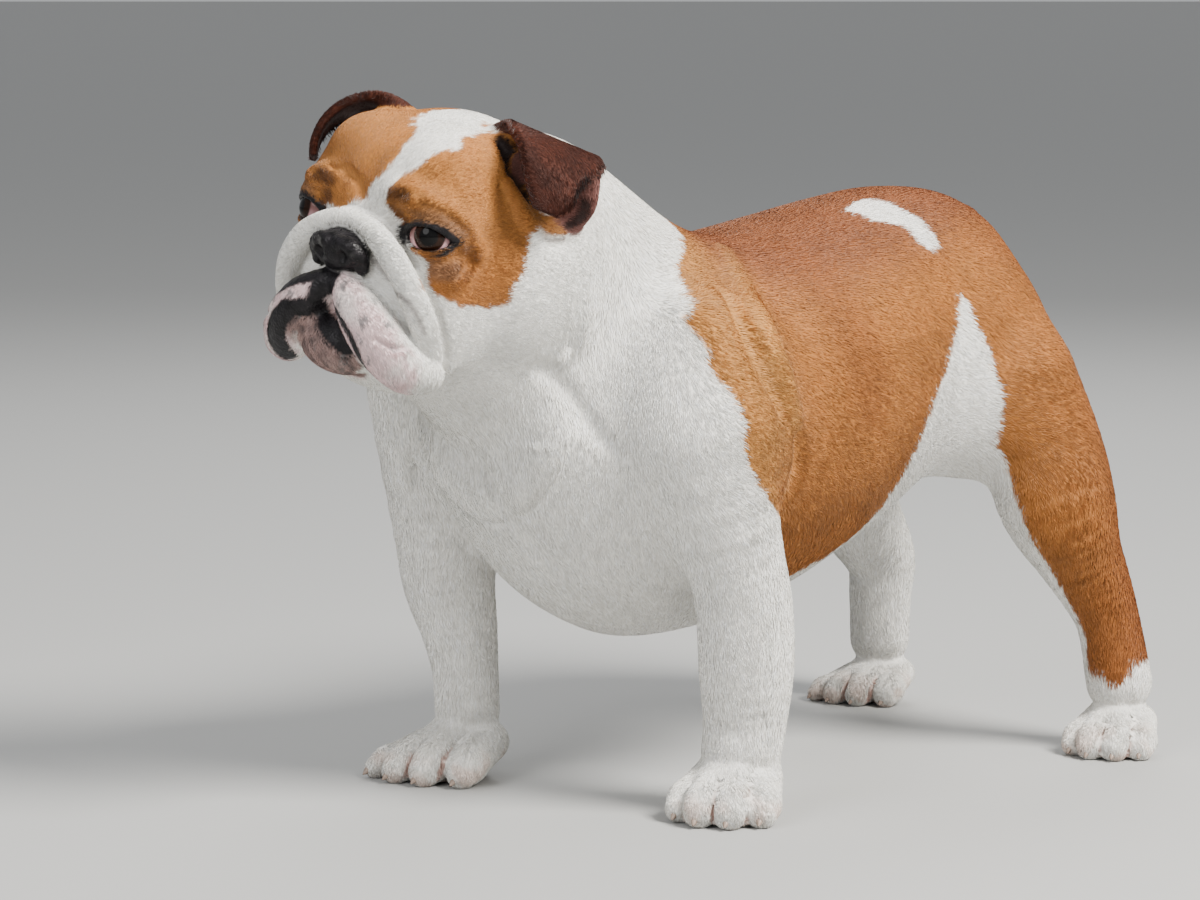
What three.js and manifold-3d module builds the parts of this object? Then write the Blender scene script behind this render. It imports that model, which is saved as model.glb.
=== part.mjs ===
import * as THREE from 'three';
import Module from 'manifold-3d';

const wasm = await Module();
wasm.setup();

// An english bulldog bitch standing square on all four feet, her head turned a
// little to her left and tipped that way. She faces -Y, her left side is +X and
// the floor is z = 0. Sizes are in millimetres.

// Driving dimensions
const HEIGHT_AT_WITHERS = 355;
const FORE_TRACK = 221;
const HIND_TRACK = 259;
const SKULL_HALF_WIDTH = 67;
const EYE_RADIUS = 14;

// Sizes that follow from them
const FIT = HEIGHT_AT_WITHERS / 355;
const FORE_SPREAD = FORE_TRACK / 221;
const HIND_SPREAD = HIND_TRACK / 259;
const SKULL = SKULL_HALF_WIDTH / 67;
const COAT_DEPTH = 1;
const GAP = 0.3;
const BOX_CENTRE = [2, -90, 0];

// Facets: the spacing of the measuring grid, by region
const TORSO_GRID = 27;
const LEG_GRID = 15;
const PAW_GRID = 10.5;
const HEAD_GRID = 9;
const EAR_GRID = 6.6;

// Small vector helpers
const add = (a, b, s = 1) => [a[0] + s * b[0], a[1] + s * b[1], a[2] + s * b[2]];
const dot = (a, b) => a[0] * b[0] + a[1] * b[1] + a[2] * b[2];
const unit = (a) => a.map((v) => v / Math.hypot(...a));
const cross = (a, b) => [
  a[1] * b[2] - a[2] * b[1],
  a[2] * b[0] - a[0] * b[2],
  a[0] * b[1] - a[1] * b[0],
];
const flip = (p, side) => [p[0] * side, p[1], p[2]];
const clamp = (v, low, high) => Math.min(Math.max(v, low), high);

// One value of a curve that passes smoothly through its points
function between(a, b, c, d, t) {
  const linear = c - a;
  const square = 2 * a - 5 * b + 4 * c - d;
  const cube = -a + 3 * b - 3 * c + d;
  return 0.5 * (2 * b + linear * t + square * t * t + cube * t * t * t);
}

// Rows of numbers made finer along a smooth curve through them
function smoothRows(rows, steps) {
  const ends = (a, b) => a.map((v, i) => 2 * v - b[i]);
  const last = rows.length - 1;
  const all = [ends(rows[0], rows[1]), ...rows, ends(rows[last], rows[last - 1])];
  const out = [];
  for (let i = 0; i < last; i += 1) {
    for (let s = 0; s < steps; s += 1) {
      const [a, b, c, d] = all.slice(i, i + 4);
      out.push(a.map((v, k) => between(v, b[k], c[k], d[k], s / steps)));
    }
  }
  out.push(rows[last]);
  return out;
}

// Flesh: a list of soft forms, joined or carved one after another. Each form
// gives the distance from a point to its surface, less than zero inside it.
class Flesh {
  constructor() {
    this.forms = [];
  }

  put(distance, centre, reach, soft, carve) {
    this.forms.push({ distance, centre, reach, soft, carve });
  }

  // An ellipsoid
  ball(centre, radii, soft, carve = false) {
    const [cx, cy, cz] = centre;
    const [rx, ry, rz] = radii;
    const distance = (x, y, z) => {
      const dx = (x - cx) / rx;
      const dy = (y - cy) / ry;
      const dz = (z - cz) / rz;
      const level = Math.hypot(dx, dy, dz);
      const slope = Math.hypot(dx / rx, dy / ry, dz / rz);
      return (level * (level - 1)) / Math.max(slope, 1e-6);
    };
    this.put(distance, centre, Math.max(rx, ry, rz), soft, carve);
  }

  // A ridge or a groove along a smooth curve, round in section
  fold(points, radii, soft, carve = false) {
    const rows = smoothRows(points.map((p, i) => [...p, radii[i]]), points.length > 2 ? 4 : 1);
    const centre = [0, 1, 2].map((k) => rows.reduce((s, r) => s + r[k], 0) / rows.length);
    const reach = Math.max(...rows.map((r) => Math.hypot(...add(r, centre, -1)) + r[3]));
    const spans = rows.slice(1).map((end, i) => {
      const step = add(end, rows[i], -1);
      return { start: rows[i], step, square: dot(step, step), swell: end[3] - rows[i][3] };
    });
    const distance = (x, y, z) => {
      let least = Infinity;
      for (const { start, step, square, swell } of spans) {
        const dx = x - start[0];
        const dy = y - start[1];
        const dz = z - start[2];
        const t = clamp((dx * step[0] + dy * step[1] + dz * step[2]) / square, 0, 1);
        const away = Math.hypot(dx - t * step[0], dy - t * step[1], dz - t * step[2]);
        least = Math.min(least, away - start[3] - t * swell);
      }
      return least;
    };
    this.put(distance, centre, reach, soft, carve);
  }

  // A bent sheet: rows of (u, w, near end, far end, half thickness), swept
  // along the third axis of the frame
  sheet(frame, side, rows, soft) {
    const { origin, u, w, a } = frame;
    const fine = smoothRows(rows, 3);
    const corner = (r, t) => add(add(add(origin, u, r[0]), w, r[1]), a, t);
    const corners = fine.flatMap((r) => [corner(r, r[2]), corner(r, r[3])]);
    const middle = [0, 1, 2].map((k) => corners.reduce((s, p) => s + p[k], 0) / corners.length);
    const reach = Math.max(...corners.map((p) => Math.hypot(...add(p, middle, -1)))) + 6;
    const distance = (x, y, z) => {
      const q = [x * side - origin[0], y - origin[1], z - origin[2]];
      const across = dot(q, u);
      const up = dot(q, w);
      const along = dot(q, a);
      let least = Infinity;
      for (let i = 0; i < fine.length - 1; i += 1) {
        const r = fine[i];
        const n = fine[i + 1];
        const du = n[0] - r[0];
        const dw = n[1] - r[1];
        const t = clamp(((across - r[0]) * du + (up - r[1]) * dw) / (du * du + dw * dw), 0, 1);
        const off = Math.hypot(across - r[0] - t * du, up - r[1] - t * dw);
        const low = r[2] + t * (n[2] - r[2]);
        const high = r[3] + t * (n[3] - r[3]);
        const past = Math.max(low - along, along - high, 0);
        const thick = r[4] + t * (n[4] - r[4]);
        least = Math.min(least, Math.hypot(off, past) - thick);
      }
      return least;
    };
    this.put(distance, flip(middle, side), reach, soft, false);
  }

  at(x, y, z) {
    let d = FAR;
    for (const form of this.forms) {
      const [cx, cy, cz] = form.centre;
      const away = Math.hypot(x - cx, y - cy, z - cz) - form.reach;
      if (away > (form.carve ? form.soft + 2 : FAR)) continue;
      const v = form.distance(x, y, z);
      d = form.carve ? -softLeast(-d, v, form.soft) : softLeast(d, v, form.soft);
    }
    return d;
  }
}
const FAR = 60;

// The lesser of two distances, rounded where they are close
function softLeast(a, b, soft) {
  const h = Math.max(soft - Math.abs(a - b), 0) / soft;
  return Math.min(a, b) - h * h * soft * 0.25;
}

// The trunk: how high its top and its bottom are, how far it reaches to each
// side and how high it is widest, at stations from the breast to the rump
const TRUNK = [
  { y: -275, top: 278, bottom: 186, half: 66, wide: 238 },
  { y: -240, top: 330, bottom: 140, half: 98, wide: 234 },
  { y: -190, top: 349, bottom: 108, half: 120, wide: 232 },
  { y: -130, top: 354, bottom: 103, half: 133, wide: 232 },
  { y: -70, top: 360, bottom: 117, half: 131, wide: 238 },
  { y: -10, top: 370, bottom: 146, half: 121, wide: 250 },
  { y: 40, top: 379, bottom: 172, half: 107, wide: 264 },
  { y: 85, top: 384, bottom: 192, half: 97, wide: 273 },
  { y: 125, top: 379, bottom: 206, half: 86, wide: 274 },
  { y: 158, top: 361, bottom: 219, half: 68, wide: 272 },
  { y: 182, top: 334, bottom: 234, half: 42, wide: 272 },
];
// How square the trunk is in section: above all the way, and below from the
// keel of the chest to the loin
const TRUNK_SQUARENESS = 2.25;
const KEEL_SQUARENESS = 1.8;
const KEEL_END = -90;
const LOIN_START = 60;
const TRUNK_END_ROUND = 24;
const BREAST = TRUNK[0].y;
const RUMP = TRUNK[TRUNK.length - 1].y;

// How fast a trunk size changes at each station
function slopeAt(i, key) {
  const b = TRUNK[i];
  const a = TRUNK[Math.max(i - 1, 0)];
  const c = TRUNK[Math.min(i + 1, TRUNK.length - 1)];
  const before = b.y - a.y;
  const after = c.y - b.y;
  if (!before) return (c[key] - b[key]) / after;
  if (!after) return (b[key] - a[key]) / before;
  const rise = (after * (b[key] - a[key])) / before + (before * (c[key] - b[key])) / after;
  return rise / (before + after);
}

function trunkSize(y, key) {
  let i = 0;
  while (i < TRUNK.length - 2 && TRUNK[i + 1].y < y) i += 1;
  const from = TRUNK[i];
  const to = TRUNK[i + 1];
  const length = to.y - from.y;
  const t = (y - from.y) / length;
  const s = t * t * (3 - 2 * t);
  const rise = t * (1 - t) * (1 - t) * length * slopeAt(i, key);
  const fall = t * t * (t - 1) * length * slopeAt(i + 1, key);
  return from[key] + s * (to[key] - from[key]) + rise + fall;
}

function trunk(x, y, z) {
  const station = clamp(y, BREAST, RUMP);
  const half = trunkSize(station, 'half');
  const wide = trunkSize(station, 'wide');
  const top = trunkSize(station, 'top');
  const bottom = trunkSize(station, 'bottom');
  const tall = z > wide ? top - wide : wide - bottom;
  const across = Math.abs(x) / half;
  const up = Math.abs(z - wide) / tall;
  const flat = clamp((y - KEEL_END) / (LOIN_START - KEEL_END), 0, 1);
  const below = flat * flat * (3 - 2 * flat);
  const keel = KEEL_SQUARENESS + (TRUNK_SQUARENESS - KEEL_SQUARENESS) * below;
  const power = z > wide ? TRUNK_SQUARENESS : keel;
  const level = (across ** power + up ** power) ** (1 / power);
  const turn = Math.atan2(up * tall, across * half);
  const local = Math.hypot(half * Math.cos(turn), tall * Math.sin(turn));
  const d = (level - 1) * Math.min(local, Math.min(half, tall) * 1.25);
  const past = 2 * (Math.max(BREAST - y, 0) + Math.max(y - RUMP, 0));
  if (!past) return d;
  const rounded = Math.max(d + TRUNK_END_ROUND, 0);
  return Math.hypot(rounded, past) - TRUNK_END_ROUND;
}

const TOES = [
  { across: -26, reach: 18, radius: 11.5 },
  { across: -9.5, reach: 30, radius: 12.5 },
  { across: 9.5, reach: 30, radius: 12.5 },
  { across: 26, reach: 18, radius: 11.5 },
];
const SPLAYED_TOES = [
  { across: -34, reach: 32, radius: 9 },
  { across: -13, reach: 34, radius: 11.5 },
  { across: 8, reach: 29, radius: 12.5 },
  { across: 29, reach: 16, radius: 12 },
];

// Each leg: where its paw stands, how far that is turned to the dog's left, and
// the middle line of the limb from the top down, in rows of x, y, z and radius
const spread = (rows, by) => rows.map(([x, ...rest]) => [x * by, ...rest]);
const LEGS = {
  left_fore: { side: 1, x: 113 * FORE_SPREAD, y: -175, turn: 26, size: 0.98, toes: TOES },
  right_fore: { side: -1, x: -108 * FORE_SPREAD, y: -210, turn: 0, size: 1, toes: SPLAYED_TOES },
  left_hind: { side: 1, x: 134 * HIND_SPREAD, y: 177, turn: 22, size: 0.86, toes: TOES },
  right_hind: { side: -1, x: -125 * HIND_SPREAD, y: 216, turn: 4, size: 0.82, toes: SPLAYED_TOES },
};
LEGS.left_fore.limb = spread([
  [110, -204, 242, 44],
  [120, -180, 170, 33],
  [120, -172, 135, 30.5],
  [117, -168, 95, 29.5],
  [113, -165, 61, 26],
  [112, -167, 42, 25],
], FORE_SPREAD);
LEGS.right_fore.limb = spread([
  [-118, -212, 256, 50],
  [-120, -208, 165, 35],
  [-118, -208, 130, 30],
  [-113, -204, 100, 25],
  [-109, -202, 72, 21.5],
  [-106, -203, 45, 21],
], FORE_SPREAD);
LEGS.left_hind.limb = spread([
  [82, 124, 250, 45],
  [98, 137, 207, 41],
  [111, 138, 174, 39],
  [118, 150, 142, 30],
  [125, 164, 112, 24],
  [129, 173, 88, 21],
  [132, 181, 48, 22],
], HIND_SPREAD);
LEGS.right_hind.limb = spread([
  [-82, 124, 250, 45],
  [-102, 142, 200, 43],
  [-112, 175, 150, 33],
  [-118, 212, 108, 25],
  [-122, 217, 78, 22],
  [-124, 219, 46, 21],
], HIND_SPREAD);

// A place on a paw, measured across it, forward along it and up
function pawPlace(leg, across, forward, up) {
  const turn = (leg.turn * Math.PI) / 180;
  const sine = Math.sin(turn);
  const cosine = Math.cos(turn);
  const x = leg.x + leg.size * (across * cosine + forward * sine);
  const y = leg.y + leg.size * (across * sine - forward * cosine);
  return [x, y, up * leg.size];
}

function addPaw(flesh, leg) {
  const { size, toes } = leg;
  const limb = (a, b, ra, rb, soft) => flesh.fold([a, b], [ra * size, rb * size], soft);
  limb(pawPlace(leg, 0, -4, 17), pawPlace(leg, 0, 8, 15), 22, 21, 8);
  for (const { across, reach, radius } of toes) {
    const root = pawPlace(leg, across * 0.75, reach - 16, radius + 4);
    const knuckle = pawPlace(leg, across, reach, radius + 2);
    const tip = pawPlace(leg, across * 1.06, reach + 8, radius * 0.74);
    limb(root, knuckle, radius, radius * 0.98, 3);
    limb(knuckle, tip, radius * 0.95, radius * 0.8, 3);
  }
}

function addLimb(flesh, { limb }, soft) {
  flesh.fold(limb.map((row) => row.slice(0, 3)), limb.map((row) => row[3]), soft);
}

function makeBody() {
  const flesh = new Flesh();
  flesh.put(trunk, [0, -20, 235], 330, 12, false);
  // Neck, throat and the front of the chest
  flesh.fold([[0, -146, 270], [0, -262, 350]], [86, 81], 30);
  flesh.fold([[0, -200, 256], [0, -285, 306]], [80, 62], 24);
  flesh.ball([0, -225, 211], [68, 42, 48], 22);
  for (const leg of Object.values(LEGS)) {
    const fore = leg.y < 0;
    if (fore) flesh.ball([leg.side * 104, -190, 258], [46, 60, 74], 26);
    else flesh.ball([leg.side * 60, 110, 260], [50, 62, 72], 28);
    addLimb(flesh, leg, fore ? 14 : 16);
  }
  // Tail
  flesh.fold([[0, 160, 352], [0, 190, 326]], [18, 11], 10);
  for (const leg of Object.values(LEGS)) addPaw(flesh, leg);
  return flesh;
}

// The head has a frame of its own: x to its left, y back and z up
const HEAD_PLACE = [-5, -322, 359];
const HEAD_YAW = 4;
const HEAD_PITCH = 3.5;
const HEAD_ROLL = 8;
const degrees = (v) => (v * Math.PI) / 180;
const HEAD_TURN = new THREE.Matrix4()
  .makeRotationZ(degrees(HEAD_YAW))
  .multiply(new THREE.Matrix4().makeRotationX(degrees(HEAD_PITCH)))
  .multiply(new THREE.Matrix4().makeRotationY(degrees(HEAD_ROLL)));
HEAD_TURN.setPosition(...HEAD_PLACE);
const HEAD_BACK = HEAD_TURN.clone().invert();
const toHead = (x, y, z) => new THREE.Vector3(x, y, z).applyMatrix4(HEAD_BACK).toArray();
const fromHead = (p) => new THREE.Vector3(...p).applyMatrix4(HEAD_TURN).toArray();
const EYE = [47, -48, 21];
const LID = 3;

function makeHead() {
  const flesh = new Flesh();
  const both = (draw) => [1, -1].forEach((side) => draw((x, y, z) => [side * x, y, z]));
  flesh.ball([0, 8, 27], [67 * SKULL, 74, 58], 12);
  flesh.ball([0, -22, 36], [53 * SKULL, 36, 42], 18);
  both((at) => {
    // Cheek, side of the forehead, the bone over the eye and the root of the ear
    flesh.ball(at(54, 18, -15), [38 * SKULL, 50, 52], 18);
    flesh.ball(at(32, -22, 56), [26, 27, 24], 14);
    flesh.ball(at(49, -30, 34), [19, 20, 20], 12);
    flesh.ball(at(50, 12, 66), [16, 20, 14], 12);
  });
  // Muzzle and throat
  flesh.ball([0, -46, -20], [60, 31, 46], 16);
  flesh.ball([0, -15, -62], [54, 52, 26], 18);
  both((at) => {
    // The cheek before the jaw, the brow, the bag under the eye, and the fold
    // of the cheek behind the roll
    flesh.ball(at(50, -28, -26), [22, 26, 38], 12);
    const brow = [at(26, -58, 44), at(40, -57, 43), at(54, -50, 36), at(62, -41, 26)];
    brow.push(at(65, -32, 14));
    flesh.fold(brow, [7, 8, 7.5, 6, 5], 9);
    flesh.ball(at(57, -45, -2), [11, 11, 9], 8);
    const beside = [at(52, -52, -3), at(57, -46, -18), at(61, -43, -36), at(59, -43, -56)];
    flesh.fold(beside, [6, 7, 7, 6], 5);
  });
  // Chin, then the hanging lips, then the roll over the nose
  flesh.ball([0, -71, -50], [31, 23, 20], 6);
  both((at) => {
    const lip = [at(8, -80, -14), at(24, -82, -27), at(38, -78, -43), at(50, -69, -57)];
    lip.push(at(57, -58, -61));
    flesh.fold(lip, [9, 14.5, 16.5, 15, 11], 7);
  });
  both((at) => {
    const roll = [at(0, -67, 24), at(12, -69, 22.5), at(24, -71, 18), at(36, -72, 10)];
    roll.push(at(46, -71, -1), at(53, -68, -14), at(58, -62, -32), at(58, -54, -52));
    flesh.fold(roll, [7.5, 7.5, 7.5, 8, 8, 8.5, 8.5, 7], 2);
  });
  both((at) => {
    // The lids over the eyeball, opened from corner to corner
    flesh.ball(at(...EYE), [1, 1, 1].map(() => EYE_RADIUS + LID), 5);
    const slit = [at(37.5, -62, 19.5), at(42, -65, 20), at(49, -65.5, 20), at(57, -60, 19)];
    slit.push(at(63, -48, 17));
    flesh.fold(slit, [1, 5.5, 8, 6.5, 1], 1.5, true);
  });
  // Nose with its wings, and the furrow that runs up the forehead
  flesh.ball([0, -76, 6], [25, 11, 14], 2.5);
  both((at) => {
    const wing = [at(6, -84, 13), at(16, -82, 12), at(23, -78, 6), at(23, -77, -2)];
    flesh.fold(wing, [5, 6, 5.5, 4.5], 3);
  });
  flesh.fold([[2, -72, 46], [6, -52, 92]], [9, 6], 8, true);
  both((at) => {
    // Nostrils and the line of the mouth
    flesh.ball(at(11, -90, 5), [4.5, 7, 4.5], 2, true);
    flesh.fold([at(12, -89, 3), at(19, -86, 0), at(26, -81, 1)], [2.6, 2.2, 1.6], 1.5, true);
    const line = [at(1, -93, -20), at(11, -95, -32), at(19, -92, -48)];
    line.push(at(29, -84, -64), at(38, -72, -75));
    flesh.fold(line, [2.4, 3, 3.6, 3.8, 3], 2, true);
  });
  flesh.fold([[0, -90, 10], [0, -90, -4], [0, -93, -20]], [1.1, 1.4, 1.6], 2, true);
  return flesh;
}

// The ear folds over along its third axis, outward along u and up along w
function earFrame() {
  const a = unit([0.66, 0.66, -0.34]);
  const outward = [0.7, -0.7, 0];
  const u = unit(add(outward, a, -dot(outward, a)));
  return { origin: [50, 8, 74], u, w: cross(u, a), a };
}
const EAR = earFrame();
const EAR_FLAP = [
  [-14, -6, -8, 46, 5.5],
  [-8, 4, -5, 50, 4.5],
  [4, 10.5, -2, 54, 3.5],
  [17, 10.5, 0, 55, 3],
  [30, 6, 7, 51, 2.8],
  [40, -3, 13, 46, 2.6],
  [45, -13, 20, 46, 2.5],
  [46, -21, 27, 41, 2.4],
];
const EAR_BURR = [
  [0, 2, 54, 7],
  [4, -18, 58, 8],
  [3, -34, 50, 8],
  [-2, -40, 36, 7],
  [-4, -34, 20, 6],
];
const EAR_CUP = [10, -8, 18];
const EAR_CUP_RADII = [13, 13, 12];

function earPlace(side, u, w, a) {
  return flip(add(add(add(EAR.origin, EAR.u, u), EAR.w, w), EAR.a, a), side);
}

function makeEar(side) {
  const flesh = new Flesh();
  flesh.sheet(EAR, side, EAR_FLAP, 5);
  const burr = EAR_BURR.map(([u, w, a]) => earPlace(side, u, w, a));
  flesh.fold(burr, EAR_BURR.map((row) => row[3]), 7);
  flesh.ball(earPlace(side, ...EAR_CUP), EAR_CUP_RADII, 5, true);
  return flesh;
}

const body = makeBody();
const headForms = makeHead();
for (const side of [1, -1]) {
  headForms.ball(earPlace(side, ...EAR_CUP), EAR_CUP_RADII, 5, true);
}
const HEAD_REACH = 150;
const NECK_SOFT = 10;

// The distance to the whole dog but its ears
function dog(x, y, z) {
  const d = body.at(x, y, z);
  const [hx, hy, hz] = toHead(x, y, z);
  if (Math.max(Math.abs(hx), Math.abs(hy), Math.abs(hz)) > HEAD_REACH) return d;
  return softLeast(d, headForms.at(hx, hy, hz), NECK_SOFT);
}

const AXES = [[1, 0, 0], [0, 1, 0], [0, 0, 1]];
// The surface keeps this far from every grid point, as a share of the spacing
const NEAREST = 0.03;

// Which edges of a grid cell are crossed by the same sheet of the surface: edges
// that share a side of the cell belong together, and where a side is crossed
// four times the two inside corners stay apart
function sheetsIn(inside) {
  const leader = Array.from({ length: 12 }, (v, i) => i);
  const find = (e) => (leader[e] === e ? e : find(leader[e]));
  const join = (e, f) => {
    leader[find(e)] = find(f);
  };
  const edge = (axis, at) => axis * 4 + at[(axis + 1) % 3] + 2 * at[(axis + 2) % 3];
  for (let a = 0; a < 3; a += 1) {
    const b = (a + 1) % 3;
    const c = (a + 2) % 3;
    for (const side of [0, 1]) {
      const corner = (m, n) => {
        const at = [0, 0, 0];
        at[a] = side;
        at[b] = m;
        at[c] = n;
        return at;
      };
      const full = (m, n) => inside(...corner(m, n));
      const crossed = [];
      if (full(0, 0) !== full(1, 0)) crossed.push(edge(b, corner(0, 0)));
      if (full(0, 1) !== full(1, 1)) crossed.push(edge(b, corner(0, 1)));
      if (full(0, 0) !== full(0, 1)) crossed.push(edge(c, corner(0, 0)));
      if (full(1, 0) !== full(1, 1)) crossed.push(edge(c, corner(1, 0)));
      if (crossed.length === 2) join(...crossed);
      if (crossed.length === 4) {
        const [low, high, left, right] = crossed;
        if (full(0, 0)) [[low, left], [high, right]].forEach((pair) => join(...pair));
        else [[low, right], [high, left]].forEach((pair) => join(...pair));
      }
    }
  }
  return leader.map((e) => find(e));
}

// A closed skin around a field inside a box: one corner in each grid cell that
// the surface crosses, moved onto the surface, and a face across each crossing
function skinOf(field, low, high, grid, nudge) {
  const count = low.map((v, k) => Math.ceil((high[k] - v) / grid) + 3);
  const start = low.map((v) => v - grid * (1 + nudge));
  const index = (i, j, k) => (i * count[1] + j) * count[2] + k;
  const inBox = (x, y, z) => {
    const dx = Math.max(low[0] - x, x - high[0]);
    const dy = Math.max(low[1] - y, y - high[1]);
    const dz = Math.max(low[2] - z, z - high[2]);
    return Math.max(dx, dy, dz);
  };
  const closed = (x, y, z) => Math.max(field(x, y, z), inBox(x, y, z));
  const values = new Float64Array(count[0] * count[1] * count[2]);
  for (let i = 0; i < count[0]; i += 1) {
    for (let j = 0; j < count[1]; j += 1) {
      for (let k = 0; k < count[2]; k += 1) {
        const [x, y, z] = [start[0] + i * grid, start[1] + j * grid, start[2] + k * grid];
        const outside = inBox(x, y, z);
        const value = outside > grid * 2 ? outside : closed(x, y, z);
        const least = grid * NEAREST;
        values[index(i, j, k)] = Math.abs(value) < least ? (value < 0 ? -least : least) : value;
      }
    }
  }
  const sums = new Map();
  const sheets = new Map();
  const faces = [];
  for (let i = 1; i < count[0] - 1; i += 1) {
    for (let j = 1; j < count[1] - 1; j += 1) {
      for (let k = 1; k < count[2] - 1; k += 1) {
        const here = values[index(i, j, k)];
        AXES.forEach(([a, b, c], axis) => {
          const there = values[index(i + a, j + b, k + c)];
          if (here < 0 === there < 0) return;
          const t = here / (here - there);
          const point = [start[0] + (i + a * t) * grid, start[1] + (j + b * t) * grid];
          point.push(start[2] + (k + c * t) * grid);
          const p = AXES[(axis + 1) % 3];
          const q = AXES[(axis + 2) % 3];
          const cells = [[0, 0], [1, 0], [1, 1], [0, 1]].map(([m, n]) => {
            const cell = [0, 1, 2].map((s) => [i, j, k][s] - m * p[s] - n * q[s]);
            const place = index(...cell);
            if (!sheets.has(place)) {
              const inside = (x, y, z) => values[index(cell[0] + x, cell[1] + y, cell[2] + z)] < 0;
              sheets.set(place, sheetsIn(inside));
            }
            const key = place * 12 + sheets.get(place)[axis * 4 + m + 2 * n];
            const entry = sums.get(key) ?? { sum: [0, 0, 0], count: 0, place };
            entry.sum = add(entry.sum, point);
            entry.count += 1;
            sums.set(key, entry);
            return key;
          });
          faces.push(here < 0 ? cells : cells.reverse());
        });
      }
    }
  }
  const corners = [];
  const number = new Map();
  const shared = new Map();
  for (const { place } of sums.values()) shared.set(place, (shared.get(place) ?? 0) + 1);
  for (const [key, { sum, count: n, place }] of sums) {
    let p = sum.map((v) => v / n);
    // Two sheets in one cell keep their own corners apart
    const moves = shared.get(place) > 1 ? 0 : 2;
    for (let turn = 0; turn < moves; turn += 1) p = ontoSurface(closed, p, grid);
    number.set(key, corners.length);
    corners.push(p);
  }
  const triangles = [];
  for (const face of faces) {
    const [a, b, c, d] = face.map((key) => number.get(key));
    const short = Math.hypot(...add(corners[a], corners[c], -1));
    const other = Math.hypot(...add(corners[b], corners[d], -1));
    if (short < other) triangles.push(a, b, c, a, c, d);
    else triangles.push(b, c, d, b, d, a);
  }
  return { corners, triangles };
}

function ontoSurface(field, p, grid) {
  const h = 0.6;
  const d = field(...p);
  const slope = [0, 1, 2].map((k) => {
    const step = [0, 0, 0];
    step[k] = h;
    return (field(...add(p, step)) - field(...add(p, step, -1))) / (2 * h);
  });
  const square = Math.max(dot(slope, slope), 0.05);
  const move = slope.map((v) => (-v * d) / square);
  const most = grid * 0.3;
  const length = Math.hypot(...move);
  return add(p, move, Math.min(1, most / Math.max(length, 1e-9)));
}

// Solids
const NUDGES = [0, 0.37, 0.71, 0.19, 0.53, 0.87];

function toSolid(corners, triangles) {
  const vertProperties = new Float32Array(corners.flat());
  const triVerts = new Uint32Array(triangles);
  return new wasm.Manifold(new wasm.Mesh({ numProp: 3, vertProperties, triVerts }));
}

function solidOf(field, low, high, grid) {
  for (const nudge of NUDGES) {
    try {
      const { corners, triangles } = skinOf(field, low, high, grid, nudge);
      const solid = toSolid(corners, triangles);
      if (solid.volume() > 0) return solid;
    } catch (problem) {
      // This grid meets itself at an edge, so the next one is tried
    }
  }
  throw new Error('no closed skin found');
}

function solidFrom(geometry) {
  const position = geometry.getAttribute('position');
  const corners = [];
  const seen = new Map();
  const number = [];
  for (let i = 0; i < position.count; i += 1) {
    const p = [position.getX(i), position.getY(i), position.getZ(i)];
    const key = p.map((v) => v.toFixed(4)).join();
    if (!seen.has(key)) {
      seen.set(key, corners.length);
      corners.push(p);
    }
    number.push(seen.get(key));
  }
  const order = geometry.index ? [...geometry.index.array] : number.map((v, i) => i);
  const triangles = [];
  for (let i = 0; i < order.length; i += 3) {
    const [a, b, c] = [number[order[i]], number[order[i + 1]], number[order[i + 2]]];
    if (a !== b && b !== c && c !== a) triangles.push(a, b, c);
  }
  return toSolid(corners, triangles);
}

const WIDE = 2000;

// Everything on the far side of a plane, as a block to cut with
function beyond(point, normal, gap) {
  const block = new THREE.BoxGeometry(WIDE, WIDE, WIDE);
  const along = new THREE.Vector3(...normal).normalize();
  const turn = new THREE.Quaternion().setFromUnitVectors(new THREE.Vector3(0, 0, 1), along);
  block.applyQuaternion(turn);
  const shift = along.multiplyScalar(WIDE / 2 + gap).add(new THREE.Vector3(...point));
  block.translate(...shift.toArray());
  return solidFrom(block);
}

function blockOf(low, high, grow = 0) {
  const size = high.map((v, k) => v - low[k] + 2 * grow);
  const block = new THREE.BoxGeometry(...size);
  block.translate(...high.map((v, k) => (v + low[k]) / 2));
  return solidFrom(block);
}

function ballOf(centre, radii, rings) {
  const ball = new THREE.SphereGeometry(1, rings * 2, rings);
  ball.rotateX(Math.PI / 2);
  ball.scale(...radii);
  ball.translate(...centre);
  ball.applyMatrix4(HEAD_TURN);
  return solidFrom(ball);
}

function largest(solid) {
  const parts = solid.decompose();
  return parts.reduce((best, part) => (part.volume() > best.volume() ? part : best));
}

const coated = (x, y, z) => dog(x, y, z) - COAT_DEPTH;

// Where the body is divided. Each cut is a plane or a block, and the pieces on
// its two sides stand off it by half the gap each.
const HALF_GAP = GAP / 2;
const NAPE = { point: [0, -250, 437], normal: [0, 0.942, -0.336] };
const NECK_BASE = { point: [0, -125, 366], normal: [0, 0.5, -0.866] };
const CHEST_END = -35;
const LOIN_END = 66;
const WRIST = 45;
const ELBOW = { x: 76, y: -134, z: 165 };
const GROIN = { x: 56, y: 58, z: 251 };
const HOCK = 100;
const TAIL_BLOCK = { low: [-17, 177, 304], high: [17, 260, 350] };
const SIDE_END = 210;
const back = (normal) => normal.map((v) => -v);

const foreBlock = (side, grow) => {
  const xs = [side * ELBOW.x, side * SIDE_END].sort((a, b) => a - b);
  return blockOf([xs[0], -330, -50], [xs[1], ELBOW.y, ELBOW.z], grow);
};
const hindBlock = (side, grow) => {
  const xs = [side * GROIN.x, side * SIDE_END].sort((a, b) => a - b);
  return blockOf([xs[0], GROIN.y, -50], [xs[1], 330, GROIN.z], grow);
};
const level = (z, up) => beyond([0, 0, z], [0, 0, up], -HALF_GAP);
const across = (y, way) => beyond([0, y, 0], [0, way, 0], -HALF_GAP);
const cut = (solid, ...tools) => largest(tools.reduce((s, tool) => s.subtract(tool), solid));

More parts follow.
